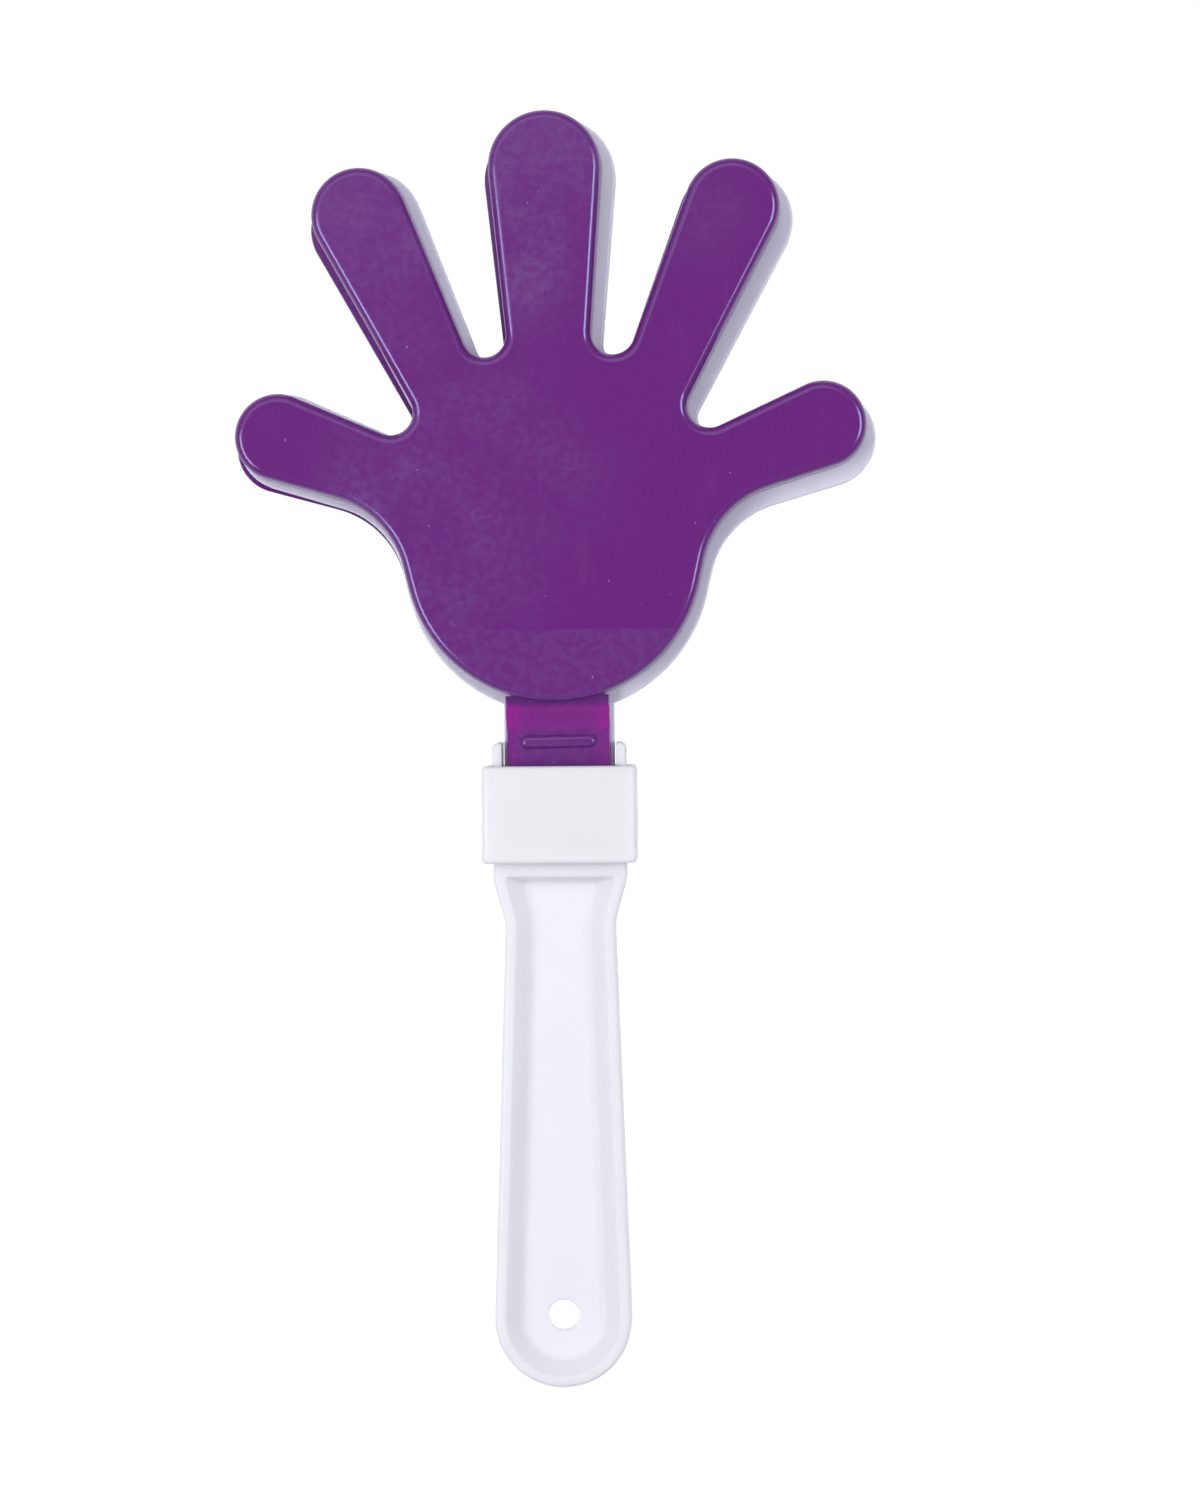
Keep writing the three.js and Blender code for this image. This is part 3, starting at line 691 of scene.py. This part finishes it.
def recess_cutter():
    """The hollow in the grip's front: a flat floor, sloping sides and a steeper top."""
    floor = GRIP_HALF_THICK - RECESS_DEPTH
    cutter = trace("recess", mirrored([
        (0, END_Y, END_RADIUS - RECESS_RIM, 1),
        (WAIST_HALF + WAIST_RADIUS, WAIST_Y, WAIST_RADIUS + RECESS_RIM, -1),
        (HEAD_HALF - RECESS_RIM - TRUE_CORNER, RECESS_TOP - TRUE_CORNER, TRUE_CORNER, 1),
    ]), GRIP_HALF_THICK)
    edit(cutter)
    bpy.ops.mesh.select_mode(type="FACE")
    bpy.ops.mesh.select_all(action="SELECT")
    inset(RECESS_SLOPE, -RECESS_DEPTH)
    bpy.ops.mesh.select_mode(type="VERT")
    bpy.ops.mesh.select_all(action="DESELECT")
    mesh = bmesh.from_edit_mesh(cutter.data)
    for vertex in mesh.verts:
        if close_to(vertex.co.z, floor) and vertex.co.y > RECESS_TOP - RECESS_SLOPE - MM / 2:
            vertex.select_set(True)
    bmesh.update_edit_mesh(cutter.data)
    bpy.ops.transform.translate(value=(0, RECESS_SLOPE - RECESS_TOP_SLOPE, 0))
    pick_edges(cutter, lambda middle, way, crease: crease > CORNER_CREASE and abs(way.z) > SLANTED)
    bevel(RECESS_CORNER, EDGE_SEGMENTS)
    pick_edges(cutter, lambda middle, way, crease: crease > FOOT_CREASE and close_to(middle.z, floor))
    bevel(RECESS_FOOT, BEND_SEGMENTS)
    bpy.ops.mesh.select_all(action="DESELECT")
    bpy.ops.mesh.select_non_manifold()
    push(z=PAST)
    bpy.ops.mesh.edge_face_add()
    bpy.ops.mesh.select_all(action="SELECT")
    bpy.ops.mesh.normals_make_consistent(inside=False)
    leave()
    return cutter


def snap_ridge(name, spare):
    """A low wedge across the head's face, which snaps into a groove in the collar."""
    shoulder = HEAD_HALF_THICK + spare
    half_long = RIDGE_LENGTH / 2 + spare
    half_wide = RIDGE_WIDTH / 2 + spare
    ridge = block(
        name, (-half_wide, -half_long, HEAD_HALF_THICK - HEAD_EDGE), (half_wide, half_long, shoulder)
    )
    edit(ridge)
    pick_faces(ridge, lambda middle, normal: normal.z > ALONG)
    push(z=RIDGE_HEIGHT)
    bpy.ops.transform.resize(value=(1, 0, 1), center_override=(0, 0, shoulder + RIDGE_HEIGHT))
    bpy.ops.mesh.select_all(action="SELECT")
    bpy.ops.mesh.remove_doubles(threshold=MERGE)
    leave()
    settle(ridge, place=(0, RIDGE_UP - COLLAR_LENGTH, 0))
    return ridge


def double_up(piece):
    """Mirrors a front half, which stands on z = 0, to make the back half."""
    edit(piece)
    pick_faces(piece, lambda middle, normal: close_to(middle.z, 0) and normal.z < -ALONG)
    bpy.ops.mesh.delete(type="FACE")
    leave()
    mirror = piece.modifiers.new("Back half", "MIRROR")
    mirror.use_axis = (False, False, True)
    mirror.merge_threshold = MERGE
    bpy.ops.object.modifier_apply(modifier=mirror.name)


def both_faces(piece, make, operation):
    """Joins or cuts with a tool on the front face, and with its twin on the back."""
    combine(piece, make(), operation)
    twin = make()
    settle(twin, turn=Matrix.Rotation(math.pi, 4, "Y"))
    combine(piece, twin, operation)


def trunnion_slot():
    return block(
        "slot", (-HEAD_HALF - PAST, SLOT_BOTTOM, TRUNNION_DEPTH - SLOT_ROOM),
        (HEAD_HALF + PAST, SLOT_TOP, HEAD_HALF_THICK + PAST),
    )


def handle_head():
    """A block with two prongs, whose slots hold the trunnions."""
    foot = HEAD_EDGE + CORNER_SPARE
    head = slab("handle_moulding", mirrored([
        (HEAD_HALF - foot, HEAD_BOTTOM + foot, foot, 1),
        (HEAD_HALF - PRONG_ROUND, PRONG_ABOVE_COLLAR - PRONG_ROUND, PRONG_ROUND, 1),
    ]), 0, HEAD_HALF_THICK)
    fork = block(
        "fork", (-PRONG_INNER, BLOCK_TOP, -PAST),
        (PRONG_INNER, PRONG_ABOVE_COLLAR + PAST, HEAD_HALF_THICK + PAST),
    )
    combine(head, fork, "DIFFERENCE")
    combine(head, trunnion_slot(), "DIFFERENCE")
    edit(head)
    pick_edges(head, lambda middle, way, crease: (
        crease > SHARP and close_to(middle.z, HEAD_HALF_THICK) and abs(middle.x) > PRONG_INNER + MM / 2
        and abs(way.z) < ACROSS
        and not close_to(middle.y, SLOT_TOP) and not close_to(middle.y, SLOT_BOTTOM)))
    bevel(HEAD_EDGE, EDGE_SEGMENTS)
    pick_edges(head, lambda middle, way, crease: (
        crease > SHARP and close_to(abs(middle.x), PRONG_INNER) and middle.z > MM
        and abs(way.y) > ALONG))
    bevel(FORK_EDGE, EDGE_SEGMENTS)
    leave()
    combine(head, snap_ridge("ridge", 0), "UNION")
    double_up(head)
    return head


def grip_bar():
    """The long flat bar with a hollow in either face, a little narrower at its root inside the head."""
    corner = GRIP_EDGE + CORNER_SPARE
    bar = slab("grip", mirrored([
        (0, END_Y, END_RADIUS, 1),
        (WAIST_HALF + WAIST_RADIUS, WAIST_Y, WAIST_RADIUS, -1),
        (HEAD_HALF - SHOULDER_RADIUS, SHOULDER_Y, SHOULDER_RADIUS, 1),
        (HEAD_HALF - ROOT_TAPER - corner, (BLOCK_TOP + HEAD_BOTTOM) / 2, corner, 1),
    ]), 0, GRIP_HALF_THICK)
    edit(bar)
    pick_edges(bar, lambda middle, way, crease: crease > SHARP and close_to(middle.z, GRIP_HALF_THICK))
    bevel(GRIP_EDGE, GRIP_SEGMENTS)
    leave()
    combine(bar, recess_cutter(), "DIFFERENCE")
    edit(bar)
    pick_edges(bar, lambda middle, way, crease: (
        crease > BROW_CREASE and close_to(middle.z, GRIP_HALF_THICK)))
    bevel(RECESS_BROW, EDGE_SEGMENTS)
    leave()
    double_up(bar)
    hole_y = END_Y + HOLE_UP
    combine(bar, rod("hole", HOLE_RADIUS, 2 * GRIP_HALF_THICK + PAST, (0, hole_y, 0)), "DIFFERENCE")
    edit(bar)
    pick_edges(bar, lambda middle, way, crease: (
        crease > SHARP and math.hypot(middle.x, middle.y - hole_y) < HOLE_RADIUS + MM / 10))
    bevel(HOLE_EDGE, EDGE_SEGMENTS)
    leave()
    return bar


def handle_moulding():
    handle = handle_head()
    combine(handle, grip_bar(), "UNION")
    half_high = NECK_THICK / 2 + FACE_CLEARANCE
    half_wide = PRONG_INNER - POCKET_STEP
    pocket = block(
        "pocket", (-half_wide, TONGUE_BOTTOM - SLOT_CLEARANCE, -half_high),
        (half_wide, BLOCK_TOP + PAST, half_high),
    )
    for side in (-1, 1):
        snap_place = (side * PRONG_INNER, TONGUE_BOTTOM + SNAP_UP, 0)
        snap = rod("snap", SNAP_RADIUS, 2 * half_high + PAST, snap_place)
        combine(pocket, snap, "DIFFERENCE")
    combine(handle, pocket, "DIFFERENCE")
    finish_mesh(handle)
    return handle


def sleeve_pegs(half_wide, half_thick, corner):
    return mirrored([
        (half_wide - corner, corner - half_thick, corner, 1),
        (half_wide - corner, half_thick - corner, corner, 1),
    ])


def slide_collar():
    """The sleeve that shuts the slots, drawn end on and then laid along the handle."""
    bore_wide = max(HEAD_HALF, END_RADIUS) + COLLAR_PASS
    bore_thick = max(HEAD_HALF_THICK, GRIP_HALF_THICK) + FACE_CLEARANCE
    outside = sleeve_pegs(bore_wide + COLLAR_SIDE_WALL, bore_thick + COLLAR_FACE_WALL, COLLAR_CORNER)
    collar = slab("slide_collar", outside, 0, COLLAR_LENGTH)
    edit(collar)
    pick_edges(collar, lambda middle, way, crease: crease > SHARP and abs(way.z) < ACROSS)
    bevel(COLLAR_EDGE, BEND_SEGMENTS)
    leave()
    inside = sleeve_pegs(bore_wide, bore_thick, BORE_CORNER)
    bore = slab("bore", inside, MOUTH_DEPTH, COLLAR_LENGTH + PAST)
    edit(bore)
    pick_faces(bore, lambda middle, normal: normal.z < -ALONG)
    push(z=-MOUTH_DEPTH)
    wider = (1 + MOUTH_FLARE / bore_wide, 1 + MOUTH_FLARE / bore_thick, 1)
    bpy.ops.transform.resize(value=wider, center_override=(0, 0, 0))
    push(z=-PAST)
    leave()
    combine(collar, bore, "DIFFERENCE")
    edit(collar)
    pick_edges(collar, lambda middle, way, crease: crease > MOUTH_CREASE and close_to(middle.z, 0))
    bevel(MOUTH_EDGE, EDGE_SEGMENTS)
    pick_edges(collar, lambda middle, way, crease: (
        crease > MOUTH_CREASE and close_to(middle.z, COLLAR_LENGTH)))
    bevel(NECK_EDGE, EDGE_SEGMENTS)
    leave()
    settle(collar, turn=Matrix.Rotation(math.pi / 2, 4, "X"))
    both_faces(collar, lambda: snap_ridge("groove", SLOT_CLEARANCE), "DIFFERENCE")
    finish_mesh(collar)
    return collar


# Finishes.

def new_material(name):
    material = bpy.data.materials.new(name)
    material.use_nodes = True
    nodes = material.node_tree.nodes
    return material, nodes, material.node_tree.links, nodes["Principled BSDF"]


def own_place(nodes):
    """The piece's own coordinates, which every pattern here reads."""
    return nodes.new("ShaderNodeTexCoord").outputs["Object"]


def noise(nodes, links, place, scale, detail, stretch=(1, 1, 1)):
    mapping = nodes.new("ShaderNodeMapping")
    mapping.inputs["Scale"].default_value = stretch
    links.new(place, mapping.inputs["Vector"])
    texture = nodes.new("ShaderNodeTexNoise")
    texture.inputs["Scale"].default_value = scale
    texture.inputs["Detail"].default_value = detail
    links.new(mapping.outputs["Vector"], texture.inputs["Vector"])
    return texture.outputs["Fac"]


def spread(nodes, links, value, low, high, to_low=0.0, to_high=1.0):
    """Stretches a value between two marks to a range."""
    stretch = nodes.new("ShaderNodeMapRange")
    stretch.interpolation_type = "SMOOTHSTEP"
    stretch.inputs["From Min"].default_value = low
    stretch.inputs["From Max"].default_value = high
    stretch.inputs["To Min"].default_value = to_low
    stretch.inputs["To Max"].default_value = to_high
    links.new(value, stretch.inputs["Value"])
    return stretch.outputs["Result"]


def pattern(nodes, links, place, kind, to_low=0.0, to_high=1.0, stretch=(1, 1, 1)):
    """Noise of one of the kinds named at the top, stretched to a range."""
    scale, detail, low, high = kind
    value = noise(nodes, links, place, scale, detail, stretch)
    return spread(nodes, links, value, low, high, to_low, to_high)


def tint(nodes, links, amount, base, over):
    """Mixes a colour over a base by an amount. Either may be a colour or another mix."""
    mix = nodes.new("ShaderNodeMix")
    mix.data_type = "RGBA"
    links.new(amount, mix.inputs["Factor"])
    for socket, colour in ((mix.inputs[COLOUR_A], base), (mix.inputs[COLOUR_B], over)):
        if isinstance(colour, tuple):
            socket.default_value = (*colour, 1)
        else:
            links.new(colour, socket)
    return mix.outputs[COLOUR_RESULT]


def bumps(nodes, links, shader, place, layers):
    """Small relief from several layers of noise, each with its own depth in metres."""
    normal = None
    for scale, detail, depth in layers:
        bump = nodes.new("ShaderNodeBump")
        bump.inputs["Strength"].default_value = 1
        bump.inputs["Distance"].default_value = depth
        links.new(noise(nodes, links, place, scale, detail), bump.inputs["Height"])
        if normal:
            links.new(normal, bump.inputs["Normal"])
        normal = bump.outputs["Normal"]
    links.new(normal, shader.inputs["Normal"])


def soft_spot(nodes, links, place, centre, reach, amount):
    """An amount that fades out at a distance from a place on the face, given in millimetres."""
    flat = nodes.new("ShaderNodeVectorMath")
    flat.operation = "MULTIPLY"
    flat.inputs[1].default_value = (1, 1, 0)
    links.new(place, flat.inputs[0])
    away = nodes.new("ShaderNodeVectorMath")
    away.operation = "DISTANCE"
    away.inputs[1].default_value = (centre[0] * MM, centre[1] * MM, 0)
    links.new(flat.outputs["Vector"], away.inputs[0])
    return spread(nodes, links, away.outputs["Value"], SPOT_CORE * reach * MM, reach * MM, amount, 0)


def both(nodes, links, operation, first, second, clamp=True):
    """Adds, multiplies or otherwise joins two values, each a number or another node's value."""
    joined = nodes.new("ShaderNodeMath")
    joined.operation = operation
    joined.use_clamp = clamp
    for socket, value in zip(joined.inputs, (first, second)):
        if isinstance(value, (int, float)):
            socket.default_value = value
        else:
            links.new(value, socket)
    return joined.outputs["Value"]


def haze_and_painted_sheen(nodes, links, place, height):
    """Where fingers dulled the gloss, which also lays on a painted sheen: patches broken up by a fine
    mottle, and a painted reflection across the lower palm, which is rougher too.
    """
    haze_and_sheen = HAZE_EVERYWHERE
    for centre, reach, amount in HAZE_AND_SHEEN_SPOTS:
        haze_and_sheen = both(nodes, links, "ADD", haze_and_sheen, soft_spot(nodes, links, place, centre, reach, amount))
    patches = both(
        nodes, links, "MULTIPLY", haze_and_sheen, pattern(nodes, links, place, HAZE_CLOUD, HAZE_LEAST_CLOUD)
    )
    low_reflection = spread(
        nodes, links, height, LOW_REFLECTION_BELOW - LOW_REFLECTION_EDGE, LOW_REFLECTION_BELOW + LOW_REFLECTION_EDGE, LOW_REFLECTION_AMOUNT, 0
    )
    dulled_and_sheen = both(nodes, links, "MAXIMUM", patches, low_reflection)
    mottle = pattern(nodes, links, place, HAZE_MOTTLE, HAZE_LEAST_MOTTLE)
    return both(nodes, links, "MULTIPLY", dulled_and_sheen, mottle)


def painted_tab_glow(nodes, links, across, height):
    """Painted glow on the thin hinge tab, standing in for light through it: most on its slope, and down
    both its edges.
    """
    comes = spread(nodes, links, height, *GLOW_COMES)
    slope = both(nodes, links, "MULTIPLY", comes, spread(nodes, links, height, *GLOW_GOES, 1, 0))
    side = spread(nodes, links, across, *EDGE_GLOW_COMES)
    low = spread(nodes, links, height, *EDGE_GLOW_GOES, LOW_EDGE_GLOW, 0)
    edges = both(nodes, links, "MULTIPLY", side, both(nodes, links, "MAXIMUM", slope, low))
    middle_glow = both(nodes, links, "MULTIPLY", slope, MIDDLE_GLOW)
    edge_glow = both(nodes, links, "MULTIPLY", edges, EDGE_GLOW)
    return both(nodes, links, "ADD", middle_glow, edge_glow)


def glossy_purple():
    """Deep purple polystyrene, with handling haze and its painted sheen, a painted reflection across
    the lower palm, and a painted glow on the hinge tab.
    """
    material, nodes, links, shader = new_material("glossy_purple")
    place = own_place(nodes)
    split = nodes.new("ShaderNodeSeparateXYZ")
    links.new(place, split.inputs["Vector"])
    height = split.outputs["Y"]
    off_middle = both(nodes, links, "SUBTRACT", split.outputs["X"], HINGE_X, clamp=False)
    across = both(nodes, links, "ABSOLUTE", off_middle, 0)
    haze_and_sheen = haze_and_painted_sheen(nodes, links, place, height)
    colour = PURPLE
    for amount, over in (
        (pattern(nodes, links, place, FINE_GRAIN), PURPLE_GRAIN),
        (pattern(nodes, links, place, SCUFFS, 0, SCUFF_AMOUNT, SCUFF_STRETCH), PURPLE_SCUFF),
        # The haze's lighter colour is a painted sheen, and the lower palm's is a painted reflection.
        (haze_and_sheen, PURPLE_HAZE_SHEEN),
        (pattern(nodes, links, place, SPECKS, 0, SPECK_AMOUNT), PURPLE_SPECK),
        # Painted glow on the hinge tab.
        (painted_tab_glow(nodes, links, across, height), PAINTED_TAB_GLOW),
    ):
        colour = tint(nodes, links, amount, colour, over)
    links.new(colour, shader.inputs["Base Color"])
    rough = spread(nodes, links, haze_and_sheen, 0, 1, CLEAN_ROUGHNESS, HAZED_ROUGHNESS)
    links.new(rough, shader.inputs["Roughness"])
    shader.inputs["IOR"].default_value = PURPLE_IOR
    shader.inputs["Specular IOR Level"].default_value = SHINE
    shader.inputs["Specular Tint"].default_value = (*SHINE_COLOUR, 1)
    bumps(nodes, links, shader, place, PURPLE_RELIEF)
    return material


def satin_white(name, colour, shade, roughness, depth):
    """White moulded plastic: a slight unevenness of tone, a satin skin and soft light inside."""
    material, nodes, links, shader = new_material(name)
    place = own_place(nodes)
    cloud = pattern(nodes, links, place, WHITE_CLOUD)
    grain = pattern(nodes, links, place, WHITE_GRAIN, 0, WHITE_GRAIN_AMOUNT)
    mixed = tint(nodes, links, cloud, colour, shade)
    links.new(tint(nodes, links, grain, mixed, shade), shader.inputs["Base Color"])
    rough = pattern(nodes, links, place, WHITE_SKIN, roughness - SMOOTHER, roughness + ROUGHER)
    links.new(rough, shader.inputs["Roughness"])
    shader.inputs["IOR"].default_value = WHITE_IOR
    shader.inputs["Subsurface Weight"].default_value = LIGHT_INSIDE
    shader.inputs["Subsurface Radius"].default_value = LIGHT_INSIDE_COLOUR
    shader.inputs["Subsurface Scale"].default_value = depth
    bumps(nodes, links, shader, place, WHITE_RELIEF)
    return material


# Stage, camera and light.

def backdrop_material():
    """A pale floor that the camera and reflections see as near white, with the shadow kept faint."""
    material, nodes, links, shader = new_material("backdrop_white")
    nodes.remove(shader)
    path = nodes.new("ShaderNodeLightPath")
    seen = path.outputs["Is Camera Ray"]
    for also in ("Is Glossy Ray", "Is Transmission Ray"):
        seen = both(nodes, links, "MAXIMUM", seen, path.outputs[also])
    paint = nodes.new("ShaderNodeBsdfDiffuse")
    paint.inputs["Color"].default_value = (*FLOOR_COLOUR, 1)
    glow = nodes.new("ShaderNodeEmission")
    glow.inputs["Strength"].default_value = FLOOR_GLOW
    mix = nodes.new("ShaderNodeMixShader")
    links.new(both(nodes, links, "MULTIPLY", seen, BACKDROP_LIFT), mix.inputs["Fac"])
    links.new(paint.outputs["BSDF"], mix.inputs[1])
    links.new(glow.outputs["Emission"], mix.inputs[2])
    links.new(mix.outputs["Shader"], nodes["Material Output"].inputs["Surface"])
    return material


def backdrop():
    bpy.ops.object.select_all(action="DESELECT")
    bpy.ops.mesh.primitive_plane_add(size=FLOOR_SIZE, location=(0, 0, -FLOOR_DEPTH))
    floor = bpy.context.object
    floor.name = "backdrop"
    bpy.ops.object.transform_apply()
    floor.data.materials.append(backdrop_material())


def soft_box(name, place, width, height, watts, colour):
    lamp = bpy.data.lights.new(name, "AREA")
    lamp.shape = "RECTANGLE"
    lamp.size = width
    lamp.size_y = height
    lamp.energy = watts
    lamp.color = colour
    holder = bpy.data.objects.new(name, lamp)
    bpy.context.scene.collection.objects.link(holder)
    holder.location = place
    holder.rotation_euler = (Vector(LAMP_AIM) - Vector(place)).to_track_quat("-Z", "Y").to_euler()


def sky():
    """A dim and slightly blue room, darkest overhead, which the camera sees as white past the floor."""
    world = bpy.data.worlds.new("studio")
    bpy.context.scene.world = world
    world.use_nodes = True
    nodes, links = world.node_tree.nodes, world.node_tree.links
    around = nodes.new("ShaderNodeTexCoord")
    split = nodes.new("ShaderNodeSeparateXYZ")
    links.new(around.outputs["Generated"], split.inputs["Vector"])
    ramp = nodes.new("ShaderNodeValToRGB")
    steps = ramp.color_ramp.elements
    for height, _ in SKY_TONES[1:-1]:
        steps.new(height)
    for step, (_, tone) in zip(steps, SKY_TONES):
        step.color = (*(tone * channel for channel in SKY_COLOUR), 1)
    links.new(split.outputs["Z"], ramp.inputs["Fac"])
    background = nodes["Background"]
    links.new(ramp.outputs["Color"], background.inputs["Color"])
    background.inputs["Strength"].default_value = SKY_STRENGTH
    white = nodes.new("ShaderNodeBackground")
    white.inputs["Color"].default_value = (1, 1, 1, 1)
    path = nodes.new("ShaderNodeLightPath")
    mix = nodes.new("ShaderNodeMixShader")
    links.new(path.outputs["Is Camera Ray"], mix.inputs["Fac"])
    links.new(background.outputs["Background"], mix.inputs[1])
    links.new(white.outputs["Background"], mix.inputs[2])
    links.new(mix.outputs["Shader"], nodes["World Output"].inputs["Surface"])


def camera():
    data = bpy.data.cameras.new("camera")
    data.lens = CAMERA_LENS
    data.sensor_width = CAMERA_SENSOR
    data.clip_end = CAMERA_SEES
    holder = bpy.data.objects.new("camera", data)
    bpy.context.scene.collection.objects.link(holder)
    holder.matrix_world = (
        Matrix.Translation(CAMERA_PLACE)
        @ Matrix.Rotation(math.radians(CAMERA_PITCH), 4, "X")
        @ Matrix.Rotation(math.radians(CAMERA_YAW), 4, "Y")
        @ Matrix.Rotation(math.radians(CAMERA_ROLL), 4, "Z")
    )
    bpy.context.scene.camera = holder


# The whole part.

def dress(piece, node, body, material):
    piece.data.materials.clear()
    piece.data.materials.append(material)
    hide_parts(node)
    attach(piece, body)


def hands(shift):
    purple = glossy_purple()
    # Its lavender tint is painted bounce light and shade.
    white = satin_white("plate_white_painted_bounce", *PLATE_WHITE_PAINTED_BOUNCE)
    front = hand_shell("hand_shell_front")
    only(front)
    bpy.ops.object.duplicate()
    back = bpy.context.object
    back.name = "hand_shell_back"
    front_place = shift + Vector((0, FRONT_TRUNNION_Y, TRUNNION_DEPTH))
    settle(front, front_place, Matrix.Rotation(math.radians(FRONT_LEAN), 4, "Z"))
    back_place = shift + Vector((0, FRONT_TRUNNION_Y - BACK_SLIP, -TRUNNION_DEPTH))
    lean = Matrix.Rotation(math.radians(BACK_LEAN), 4, "Z")
    settle(back, back_place, lean @ Matrix.Rotation(math.pi, 4, "Y"))
    plate = middle_plate()
    settle(plate, shift)
    dress(front, "front_hand", "front_hand_body", purple)
    dress(back, "back_hand", "back_hand_body", purple)
    dress(plate, "middle_hand", "grip_body", white)


def grip(shift):
    handle = handle_moulding()
    settle(handle, shift)
    collar = slide_collar()
    settle(collar, shift)
    dress(handle, "handle", "grip_body", satin_white("handle_white", *HANDLE_WHITE))
    dress(collar, "collar", "grip_body", satin_white("collar_white", *COLLAR_WHITE))


def hinge_shift():
    """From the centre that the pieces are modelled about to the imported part's, by the front hinge."""
    hinge = next(joint for joint in frame["joints"] if joint["name"] == "front_hand_swing")
    return Vector(hinge["pos_m"]) - Vector((0, FRONT_TRUNNION_Y, TRUNNION_DEPTH))


bpy.context.scene.view_settings.view_transform = "Standard"
camera()
backdrop()
sky()
for name, lamp in SOFT_BOXES.items():
    soft_box(name, *lamp)
shift = hinge_shift()
hands(shift)
grip(shift)
